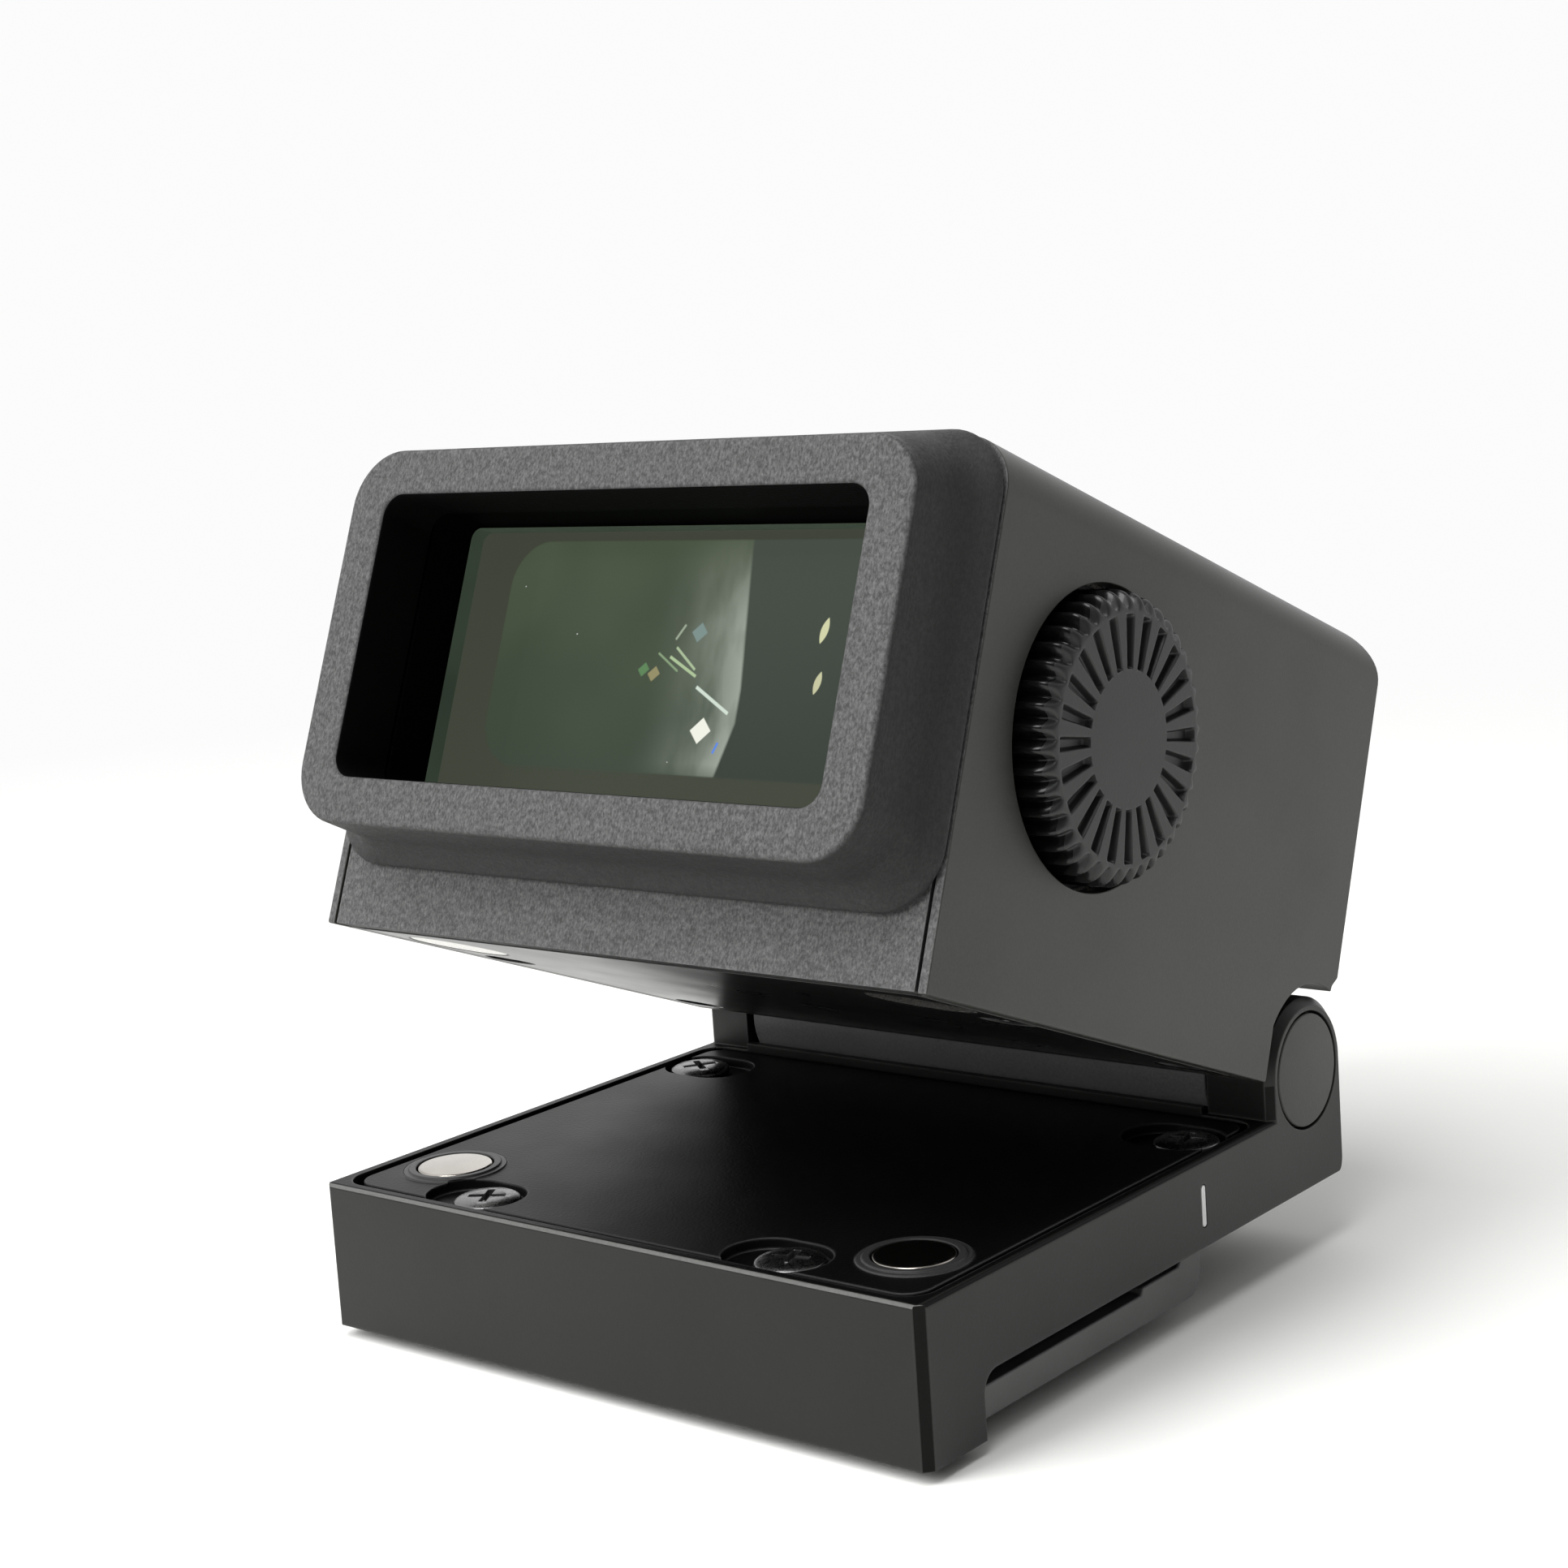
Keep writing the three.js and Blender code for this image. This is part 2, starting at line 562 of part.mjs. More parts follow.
function dioptreDial() {
  const { y, z, radius, face, faceRadius } = DIAL;
  const flange = { radius: 8.0, inner: 16.4, outer: 17.3 };
  const profile = [
    [0, flange.inner],
    [flange.radius, flange.inner],
    [flange.radius, flange.outer],
    [radius, flange.outer],
    [radius, 19.3],
    [faceRadius, face],
    [0, face],
  ].map(([r, x]) => new THREE.Vector2(r, x));
  let dial = solid(new THREE.LatheGeometry(profile, 48).rotateZ(-Math.PI / 2).translate(0, y, z));
  const ribs = 24;
  for (let i = 0; i < ribs; i++) {
    const slot = new THREE.BoxGeometry(1.2, 0.55, 2.3);
    slot.translate(face, 0, 4.45).rotateX((2 * Math.PI * i) / ribs).translate(0, y, z);
    dial = dial.subtract(solid(slot));
  }
  return cut(dial, rod("x", y, z, DIAL.bore, flange.inner - 1, 18.9, 24), spiralGroove(flange.inner));
}

// A spiral cam groove in the dial's inner face. At angle t from the follower pin, which rides on the
// side nearest the eyepiece, its radius is the mean radius plus the pitch per radian times t.
function spiralGroove(faceX) {
  const { mean, perRadian, sweep, width, depth } = SPIRAL;
  const limit = THREE.MathUtils.degToRad(sweep);
  const steps = 32;
  const edge = (offset, i) => {
    const t = -limit + (2 * limit * i) / steps;
    const r = mean + perRadian * t + offset;
    const angle = Math.PI + t;
    return new THREE.Vector2(DIAL.y + r * Math.cos(angle), DIAL.z + r * Math.sin(angle));
  };
  const outline = [];
  for (let i = 0; i <= steps; i++) outline.push(edge(width / 2, i));
  for (let i = steps; i >= 0; i--) outline.push(edge(-width / 2, i));
  return prism("x", new THREE.Shape(outline), faceX - 1, faceX + depth);
}

function dialPost() {
  const { y, z } = DIAL;
  return joined(
    rod("x", y, z, DIAL.bore - GAP, DIAL_POST.root, DIAL_POST.tip, 24),
    rod("x", y, z, DIAL_POST.flange, OPTICS.x + GAP, DIAL_POST.flangeTop, 24),
  );
}

function ringX(y, z, inner, outer, x0, x1, segments = SEGMENTS) {
  return cut(rod("x", y, z, outer, x0, x1, segments), rod("x", y, z, inner, x0 - 1, x1 + 1, segments));
}

function displayHolder() {
  const { y, half, low, high } = DISPLAY;
  const plate = prism("y", roundedRect(-OPTICS.x, OPTICS.x, OPTICS.low, OPTICS.high, 1.2), y, y + 2.0);
  return cut(
    plate,
    block(-half + 0.6, half - 0.6, 20, 30, low + 0.6, high - 0.6),
    block(-half - GAP, half + GAP, y + 0.8, 40, low - GAP, high + GAP),
  );
}

function mainBoard() {
  const board = block(-15.2, 15.2, 31.4, 31.9, 13.2, 27.8);
  const chips = [
    block(-9, -2, 30.7, 31.5, 16, 23),
    block(2, 6, 30.8, 31.5, 20, 24),
    block(3, 11, 31.8, 32.6, 15, 19),
  ];
  return joined(board, ...chips);
}

// The barrel that turns on the two hinge pins, with the curved land that carries the head.
function hingeBarrel() {
  const { radius, left, right, bore, washerRoom } = BARREL;
  const land = new THREE.Shape();
  const outer = HEAD.notchRadius - GAP;
  const from = THREE.MathUtils.degToRad(74);
  const to = THREE.MathUtils.degToRad(158);
  land.absarc(HINGE.y, HINGE.z, outer, from, to, false);
  land.absarc(HINGE.y, HINGE.z, radius - 0.8, to, from, true);
  const barrel = joined(
    hingeRod(radius, left, right, 48),
    prism("x", land, left + 0.4, right - 0.4, 10),
  );
  return cut(
    barrel,
    hingeRod(HINGE.pinRadius + 0.06, left - 1, right + 1),
    hingeRod(bore, -11.9, 11.2),
    hingeRod(washerRoom, left - 1, left + 0.75),
    hingeRod(washerRoom, right - 0.75, right + 1),
    block(-5, 5, HINGE.y - 1.2, HINGE.y + 0.6, HINGE.z, HINGE.z + 9),
  );
}

// A ribbon of the given thickness that follows (y, z) points, centred on x.
function ribbon(x, width, thick, points) {
  const half = thick / 2;
  const upper = [];
  const lower = [];
  points.forEach(([y, z], i) => {
    const [py, pz] = points[Math.max(i - 1, 0)];
    const [ny, nz] = points[Math.min(i + 1, points.length - 1)];
    const length = Math.hypot(ny - py, nz - pz);
    const across = [(-(nz - pz) * half) / length, ((ny - py) * half) / length];
    upper.push(new THREE.Vector2(y + across[0], z + across[1]));
    lower.unshift(new THREE.Vector2(y - across[0], z - across[1]));
  });
  return prism("x", new THREE.Shape([...upper, ...lower]), x - width / 2, x + width / 2);
}

// ---- assembly ----
const viewfinder = new THREE.Group();
viewfinder.position.set(0, -FOOT_CENTRE_Y, -SOLE_Z);

const base = new THREE.Group();
viewfinder.add(base);
addTo(base, "base_tray", baseTray(), finish.shell);
addTo(base, "base_cover_plate", coverPlate(), finish.black);
for (const [place, x, y] of screwPlaces) {
  const placed = addTo(base, `cover_screw_${place}`, screw(1.7, 0.7, 0.75, 2.6), finish.dark);
  placed.position.set(x, y, PLATE_TOP + 0.25);
}
for (const [side, name] of [[-1, "left"], [1, "right"]]) {
  const top = PLATE_TOP + 0.4;
  const magnet = rod("z", side * MAGNET.x, MAGNET.y, MAGNET.radius, top - MAGNET.height, top);
  addTo(base, `magnet_${name}`, magnet, finish.nickel);
  addTo(base, `hinge_pin_${name}`, hingePin(side), finish.steel);
  addTo(base, `hinge_cap_${name}`, hingeCap(side), finish.shell);
}
addTo(base, "friction_washer_left", ringX(HINGE.y, HINGE.z, 1.6, 2.45, -15.75, -15.05, 24), finish.steel);
addTo(base, "friction_washer_right", ringX(HINGE.y, HINGE.z, 1.6, 2.45, 14.35, 15.05, 24), finish.steel);
addTo(base, "index_mark", indexMark(), finish.mark);
addTo(base, "base_board", baseBoard(), finish.board);
addTo(base, "shoe_foot", shoeFoot(), finish.steel);
for (const [place, x, y] of footScrewPlaces) {
  const placed = addTo(base, `foot_screw_${place}`, screw(1.2, 0.6, 0.75, 4.6), finish.dark);
  placed.rotation.x = Math.PI;
  placed.position.set(x, y, SOLE_Z + 0.1);
}
addTo(base, "connector_block", connectorBlock(), finish.black);
CONTACT_PLACES.forEach((x, i) => {
  const pin = block(x - 0.3, x + 0.3, 1.95, BASE.skirtDepth + 0.1, -1.9, -1.5);
  addTo(base, `contact_pin_${i + 1}`, pin, finish.gold);
});
const baseFlex = ribbon(0, FLEX.width, FLEX.thick, [[20.5, 3.05], [27.0, 3.05], [28.4, 2.6], [29.7, 2.2]]);
addTo(base, "base_flex_cable", baseFlex, finish.flex);
addTo(viewfinder, "foot_guard", footGuard(), finish.guard);

const tilted = new THREE.Group();
tilted.position.set(0, HINGE.y, HINGE.z);
tilted.rotation.x = THREE.MathUtils.degToRad(-REST_TILT);
viewfinder.add(tilted);
const head = new THREE.Group();
head.position.set(0, -HINGE.y, -HINGE.z);
tilted.add(head);

addTo(head, "head_housing", headHousing(), finish.shell);
addTo(head, "front_panel", frontPanel(), finish.grain);
addTo(head, "bottom_plate", bottomPlate(), finish.gloss);
addTo(head, "eyecup_frame", eyecup(), finish.grain);
addTo(head, "window_bezel", windowBezel(), finish.gloss);
addTo(head, "eyepiece_window", eyeWindow(), finish.glass);
addTo(head, "eye_sensor", block(13.6, 14.7, 2.0, 3.1, 17.75, 20.65), finish.gloss);
addTo(head, "optics_barrel", opticsBarrel(), finish.black);
addTo(head, "display_holder", displayHolder(), finish.black);
const { y: displayY, half: displayHalf, low: displayLow, high: displayHigh } = DISPLAY;
const panel = block(-displayHalf, displayHalf, displayY + 0.95, displayY + 1.7, displayLow, displayHigh);
const light = block(-displayHalf, displayHalf, displayY + 1.85, displayY + 3.4, displayLow, displayHigh);
addTo(head, "display_panel", panel, finish.screen);
addTo(head, "display_backlight", light, finish.nickel);
addTo(head, "main_board", mainBoard(), finish.board);
const headFlex = ribbon(0, FLEX.width, FLEX.thick, [[33.4, 19.0], [33.4, 14.5], [33.2, 12.5], [33.0, 12.15]]);
addTo(head, "head_flex_cable", headFlex, finish.flex);
addTo(head, "hinge_barrel", hingeBarrel(), finish.shell);
addTo(head, "dial_post", dialPost(), finish.steel);
addTo(head, "dial_spring_washer", ringX(DIAL.y, DIAL.z, 7.1, 7.9, 17.4, 17.65, 48), finish.steel);
for (const [side, name] of [[-1, "left"], [1, "right"]]) {
  const low = HEAD.bottom + 0.02;
  const disc = rod("z", side * MAGNET.x, MAGNET.y, STRIKE.radius, low, low + STRIKE.thick - GAP);
  addTo(head, `strike_disc_${name}`, disc, finish.steel);
}
for (const [place, x, y] of headScrewPlaces) {
  const placed = addTo(head, `head_screw_${place}`, screw(1.25, 0.6, 0.75, 3.6), finish.dark);
  placed.rotation.x = Math.PI;
  placed.position.set(x, y, HEAD.bottom + 0.1);
}

const carrier = new THREE.Group();
head.add(carrier);
addTo(carrier, "lens_cell", lensCell(), finish.black);
addTo(carrier, "eye_lens", lens(12.3, 12.5, 25.7, 6.4, 8.6, 0.7, 0.3), finish.glass);
addTo(carrier, "field_lens", lens(12.3, 12.5, 25.7, 11.2, 12.8, 0.4, 0.6), finish.glass);
addTo(carrier, "lens_retainer", frameY(12.4, 12.4, 25.8, 0.9, 5.42, 5.72, 0.7), finish.black);

addTo(head, "dioptre_dial", dioptreDial(), finish.dial);

export default viewfinder;
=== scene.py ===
"""The looks of a clip-on tilting electronic viewfinder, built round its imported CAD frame.

Shapes are drawn in millimetres from a datum: the middle of the base's lower front edge, above its skirt.
Head pieces are drawn level, as the closed head stands, and their objects are turned to the rest tilt.
"""
import json
import math
import random

import bmesh
import bpy
from mathutils import Matrix, Vector
from mathutils.bvhtree import BVHTree


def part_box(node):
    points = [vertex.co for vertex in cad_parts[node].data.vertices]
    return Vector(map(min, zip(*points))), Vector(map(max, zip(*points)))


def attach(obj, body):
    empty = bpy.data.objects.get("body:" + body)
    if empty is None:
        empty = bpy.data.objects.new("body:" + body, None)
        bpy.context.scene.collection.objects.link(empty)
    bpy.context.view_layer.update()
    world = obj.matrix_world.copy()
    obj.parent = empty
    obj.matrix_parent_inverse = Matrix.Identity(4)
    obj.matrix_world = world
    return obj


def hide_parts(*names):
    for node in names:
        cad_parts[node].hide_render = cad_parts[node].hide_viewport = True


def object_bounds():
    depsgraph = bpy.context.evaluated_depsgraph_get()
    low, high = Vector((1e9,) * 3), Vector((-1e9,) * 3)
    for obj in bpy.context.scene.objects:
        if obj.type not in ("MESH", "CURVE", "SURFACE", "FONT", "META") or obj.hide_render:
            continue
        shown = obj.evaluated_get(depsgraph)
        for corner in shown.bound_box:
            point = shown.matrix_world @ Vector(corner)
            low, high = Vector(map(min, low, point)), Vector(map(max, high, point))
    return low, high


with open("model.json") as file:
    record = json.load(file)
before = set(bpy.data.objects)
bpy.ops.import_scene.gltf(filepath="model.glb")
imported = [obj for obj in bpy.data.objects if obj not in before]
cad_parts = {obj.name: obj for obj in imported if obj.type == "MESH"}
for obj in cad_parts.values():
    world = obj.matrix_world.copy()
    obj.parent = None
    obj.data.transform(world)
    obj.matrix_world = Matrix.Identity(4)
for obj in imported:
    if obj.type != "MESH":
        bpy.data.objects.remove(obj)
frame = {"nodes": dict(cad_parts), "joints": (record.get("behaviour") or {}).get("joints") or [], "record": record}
CAD_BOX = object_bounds()

MM = 0.001
X, Y, Z = 0, 1, 2
SIDES = ("left", "right")
CORNERS = ("front_left", "front_right", "rear_left", "rear_right")

# ---------------- the frame's measures
joints = {joint["name"]: joint for joint in frame["joints"]}
hinge_at = Vector(joints["head_tilt"]["pos_m"])
slide_axis = joints["lens_focus"]["axis"]
TILT = math.atan2(-slide_axis[2], slide_axis[1])
HEAD_MATRIX = Matrix.Translation(hinge_at) @ Matrix.Rotation(-TILT, 4, "X") @ Matrix.Translation(-hinge_at)
HEAD_BODIES = ("head", "lens_carrier", "dial")
HEAD_NODES = {node for body in HEAD_BODIES for node in frame["record"]["behaviour"]["bodies"][body]}

SKIRT_DROP = 3.08  # how far the front skirt hangs below the base's floor
tray_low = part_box("base_tray")[0] / MM
DATUM = Vector((0, tray_low[Y], tray_low[Z] + SKIRT_DROP))


class Box:
    """A CAD node's lowest and highest corner in the drawing frame, level if the node is in the head."""

    def __init__(self, node):
        turn = HEAD_MATRIX.inverted() if node in HEAD_NODES else Matrix.Identity(4)
        points = [turn @ vertex.co / MM - DATUM for vertex in frame["nodes"][node].data.vertices]
        self.low = Vector(min(point[i] for point in points) for i in range(3))
        self.high = Vector(max(point[i] for point in points) for i in range(3))
        self.mid = (self.low + self.high) / 2
        self.size = self.high - self.low


_, HINGE_Y, HINGE_Z = hinge_at / MM - DATUM
TRAY, PLATE, HOUSING, BEZEL = (
    Box(node) for node in ("base_tray", "base_cover_plate", "head_housing", "window_bezel")
)
HALF = TRAY.high[X]
DEPTH = TRAY.high[Y]
EYECUP_FRONT = -5.0


# ---------------- outlines, as lists of 2D points
def arc(centre, radius, start, end, steps):
    """Points from start to end, in degrees."""
    angles = [math.radians(start + (end - start) * i / steps) for i in range(steps + 1)]
    return [(centre[0] + radius * math.cos(a), centre[1] + radius * math.sin(a)) for a in angles]


def rounded(low, high, radius, steps=8):
    """A rectangle from low to high with round corners, as (a, b) points, anticlockwise."""
    (a0, b0), (a1, b1) = low, high
    r = radius
    return (
        arc((a0 + r, b0 + r), r, 180, 270, steps)
        + arc((a1 - r, b0 + r), r, 270, 360, steps)
        + arc((a1 - r, b1 - r), r, 0, 90, steps)
        + arc((a0 + r, b1 - r), r, 90, 180, steps)
    )


def circle(centre, radius, steps=64):
    return arc(centre, radius, 0, 360, steps)[:-1]


# ---------------- solids, as bmesh bodies in millimetres
# A flat outline is drawn in the plane across the axis: (y, z) for X, (x, z) for Y and (x, y) for Z.
PLACE = {
    X: lambda a, b, along: (along, a, b),
    Y: lambda a, b, along: (a, along, b),
    Z: lambda a, b, along: (a, b, along),
}


def prism(axis, outline, start, end):
    body = bmesh.new()
    rings = [[body.verts.new(PLACE[axis](a, b, at)) for a, b in outline] for at in (start, end)]
    close_rings(body, rings)
    return body


def close_rings(body, rings, ends=True):
    """Joins rings of vertices into a skin, with a flat face at each end, or end to end if ends is False."""
    count = len(rings[0])
    pairs = list(zip(rings, rings[1:])) if ends else list(zip(rings, rings[1:] + rings[:1]))
    for lower, upper in pairs:
        for i in range(count):
            j = (i + 1) % count
            body.faces.new((lower[i], lower[j], upper[j], upper[i]))
    if ends:
        body.faces.new(rings[0])
        body.faces.new(rings[-1])
    bmesh.ops.recalc_face_normals(body, faces=body.faces)


def block(low, high):
    (x0, y0, z0), (x1, y1, z1) = low, high
    return prism(Z, [(x0, y0), (x1, y0), (x1, y1), (x0, y1)], z0, z1)


def rod(axis, centre, radius, start, end, steps=64):
    return prism(axis, circle(centre, radius, steps), start, end)


def turned(axis, centre, profile, steps=96):
    """A turned body. The profile is (radius, station) points, the first and the last close to the axis."""
    body = bmesh.new()
    rings = []
    for radius, along in profile:
        places = [PLACE[axis](a, b, along) for a, b in circle(centre, radius, steps)]
        rings.append([body.verts.new(place) for place in places])
    close_rings(body, rings)
    return body


def loft(sections, ends=True):
    """A skin through (station, outline) sections along Y. Every outline has the same number of points."""
    body = bmesh.new()
    rings = [[body.verts.new((a, at, b)) for a, b in outline] for at, outline in sections]
    close_rings(body, rings, ends)
    return body


def near(a, b):
    return abs(a - b) < 0.01


# ---------------- pieces
def mesh_object(name, body):
    """Turns a bmesh in millimetres into a mesh object in metres."""
    mesh = bpy.data.meshes.new(name)
    bmesh.ops.translate(body, vec=DATUM, verts=body.verts)
    bmesh.ops.scale(body, vec=(MM, MM, MM), verts=body.verts)
    body.to_mesh(mesh)
    body.free()
    obj = bpy.data.objects.new(name, mesh)
    bpy.context.scene.collection.objects.link(obj)
    return obj


def bake(obj):
    """Replaces the object's mesh with the result of its modifiers."""
    graph = bpy.context.evaluated_depsgraph_get()
    graph.update()
    made = bpy.data.meshes.new_from_object(obj.evaluated_get(graph), depsgraph=graph)
    old = obj.data
    obj.modifiers.clear()
    obj.data = made
    bpy.data.meshes.remove(old)


def combine(obj, bodies, operation):
    for body in bodies:
        tool = mesh_object("tool", body)
        modifier = obj.modifiers.new("combine", "BOOLEAN")
        modifier.operation = operation
        modifier.solver = "EXACT"
        modifier.object = tool
        bake(obj)
        bpy.data.objects.remove(tool)


def carved(name, start, add=(), cut=()):
    obj = mesh_object(name, start)
    combine(obj, add, "UNION")
    combine(obj, cut, "DIFFERENCE")
    return obj


def soften(obj, width, segments=3, angle=32, widths=None):
    """Rounds every edge sharper than angle. widths gives an edge's own width from its middle."""
    body = bmesh.new()
    body.from_mesh(obj.data)
    bmesh.ops.remove_doubles(body, verts=body.verts, dist=1e-6)
    bmesh.ops.dissolve_degenerate(body, dist=1e-6, edges=body.edges)
    bmesh.ops.dissolve_limit(body, angle_limit=math.radians(0.05), verts=body.verts, edges=body.edges)
    weight = body.edges.layers.float.new("bevel_weight_edge")
    for edge in body.edges:
        if len(edge.link_faces) == 2 and edge.calc_face_angle(0) > math.radians(angle):
            middle = (edge.verts[0].co + edge.verts[1].co) / 2 / MM - DATUM
            edge[weight] = widths(middle) / width if widths else 1.0
    skin = BVHTree.FromBMesh(body)
    body.to_mesh(obj.data)
    body.free()
    bevel = obj.modifiers.new("bevel", "BEVEL")
    bevel.width = width * MM
    bevel.segments = segments
    bevel.limit_method = "WEIGHT"
    bevel.use_clamp_overlap = False
    bake(obj)
    for vertex in obj.data.vertices:
        nearest, _, _, away = skin.find_nearest(vertex.co)
        if away > width * MM / 2:
            vertex.co = nearest
    smooth(obj)


def smooth(obj, angle=40):
    obj.data.shade_smooth()
    obj.data.set_sharp_from_angle(angle=math.radians(angle))
    weights = obj.modifiers.new("weights", "WEIGHTED_NORMAL")
    weights.keep_sharp = True
    weights.weight = 90
    bake(obj)


def piece(obj, body, look, node=None):
    """Places a finished mesh on its CAD body, in the stead of the CAD node."""
    obj.data.materials.clear()
    obj.data.materials.append(LOOK[look])
    if body in HEAD_BODIES:
        obj.matrix_world = HEAD_MATRIX
    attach(obj, body)
    if node:
        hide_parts(node)


def repaint(obj, look, wanted):
    """Gives another look to the faces that wanted says yes to, by the face and its middle in millimetres."""
    index = len(obj.data.materials)
    obj.data.materials.append(LOOK[look])
    for face in obj.data.polygons:
        if wanted(face, face.center / MM - DATUM):
            face.material_index = index


# ---------------- material nodes
EDGE_GAIN = 6.0


class Nodes:
    """A small wrapper that adds and joins the shader nodes of a world or a material."""

    def __init__(self, owner):
        owner.use_nodes = True
        self.tree = owner.node_tree
        self.tree.nodes.clear()

    def add(self, kind, inputs=None, **settings):
        node = self.tree.nodes.new(kind)
        for key, value in settings.items():
            setattr(node, key, value)
        for key, value in (inputs or {}).items():
            self.set(node.inputs[key], value)
        return node

    def set(self, socket, value):
        if isinstance(value, bpy.types.NodeSocket):
            self.tree.links.new(value, socket)
        else:
            socket.default_value = value

    def mix(self, share, a, b):
        return self.add("ShaderNodeMixShader", {0: share, 1: a.outputs[0], 2: b.outputs[0]})


class Shader(Nodes):
    """The nodes of a new material."""

    def __init__(self, name):
        self.material = bpy.data.materials.new(name)
        super().__init__(self.material)
        self.place = self.add("ShaderNodeTexCoord").outputs["Object"]

    def finished(self, shader):
        self.add("ShaderNodeOutputMaterial", {"Surface": shader.outputs[0]})
        return self.material

    def noise(self, size_mm, detail=2.0, roughness=0.5, stretch=None):
        """Cloudy noise from 0 to 1, with features about size_mm across."""
        place = self.place
        if stretch:
            place = self.add("ShaderNodeMapping", {"Vector": place, "Scale": stretch}).outputs[0]
        inputs = {"Vector": place, "Scale": 1 / (size_mm * MM), "Detail": detail, "Roughness": roughness}
        return self.add("ShaderNodeTexNoise", inputs).outputs["Fac"]

    def cells(self, size_mm):
        """The distance from the nearest of many scattered points, size_mm apart."""
        inputs = {"Vector": self.place, "Scale": 1 / (size_mm * MM)}
        return self.add("ShaderNodeTexVoronoi", inputs).outputs["Distance"]

    def remap(self, value, low, high, to_low=0.0, to_high=1.0):
        inputs = {0: value, 1: low, 2: high, 3: to_low, 4: to_high}
        return self.add("ShaderNodeMapRange", inputs, clamp=True).outputs[0]

    def math(self, operation, a, b=0.0):
        return self.add("ShaderNodeMath", {0: a, 1: b}, operation=operation).outputs[0]

    def times(self, a, b):
        return self.math("MULTIPLY", a, b)

    def minus(self, a, b):
        return self.math("SUBTRACT", a, b)

    def blend(self, share, a, b):
        node = self.add("ShaderNodeMix", data_type="RGBA")
        colours = [socket for socket in node.inputs if socket.type == "RGBA"]
        self.set(node.inputs[0], share)
        self.set(colours[0], rgba(a))
        self.set(colours[1], rgba(b))
        return [socket for socket in node.outputs if socket.type == "RGBA"][0]

    def bump(self, height, depth_mm):
        return self.add("ShaderNodeBump", {"Height": height, "Distance": depth_mm * MM}).outputs[0]

    def edge(self, radius_mm):
        """High on convex and concave edges, falling to 0 on flats."""
        bevel = self.add("ShaderNodeBevel", {"Radius": radius_mm * MM}, samples=4)
        flat = self.add("ShaderNodeNewGeometry").outputs["Normal"]
        dot = self.add("ShaderNodeVectorMath", {0: bevel.outputs[0], 1: flat}, operation="DOT_PRODUCT")
        return self.times(self.minus(1.0, dot.outputs["Value"]), EDGE_GAIN)

    def add_wear_and_highlight(self, base, mask, wear_and_highlight_share, most, color):
        """Blends a paler color in over the mask, times the wear share and up to the share most: edge wear and a
        painted edge highlight.
        """
        share = self.math("MINIMUM", self.times(mask, wear_and_highlight_share), most)
        return self.blend(share, base, color)

    def surface(self, color, roughness, normal=None, **more):
        inputs = {"Base Color": rgba(color), "Roughness": roughness}
        if normal:
            inputs["Normal"] = normal
        inputs.update({key.replace("_", " "): value for key, value in more.items()})
        return self.finished(self.add("ShaderNodeBsdfPrincipled", inputs))


def rgba(color):
    return color if isinstance(color, bpy.types.NodeSocket) else (*color[:3], 1.0)


def grey(value, warm=0.0):
    """A near-neutral linear colour, with less blue for a positive warm."""
    return (value, value * (1 + 0.3 * warm), value * (1 - 2.2 * warm))


def coated(name, tone, rough, warm=0.0, grain=0.16, depth=0.006, wear_and_highlight_share=0.35, rub_and_highlight_tone=None, shine=0.45):
    """A coated metal shell: fine grain, slow tone drift, and edges lightened towards a paler edge tone, which is
    both wear and a painted highlight.
    """
    s = Shader(name)
    fine = s.noise(grain, detail=3.0, roughness=0.65)
    drift = s.noise(9.0, detail=2.0)
    base = s.blend(s.remap(drift, 0.3, 0.7), grey(tone * 0.90, warm), grey(tone * 1.10, warm))
    base = s.blend(s.remap(fine, 0.35, 0.70, 0.0, 0.55), base, grey(tone * 1.5, warm))
    # Edge mask: wear and a painted highlight on the rounded edges.
    wear_and_highlight_mask = s.times(s.edge(0.25), s.remap(s.noise(2.2), 0.35, 0.75, 0.25, 1.0))
    base = s.add_wear_and_highlight(base, wear_and_highlight_mask, wear_and_highlight_share, 0.6, grey(rub_and_highlight_tone or tone * 2.6, warm))
    smear = s.remap(s.noise(14.0, detail=4.0), 0.35, 0.75, rough - 0.05, rough + 0.06)
    return s.surface(base, smear, s.bump(fine, depth), Specular_IOR_Level=shine)


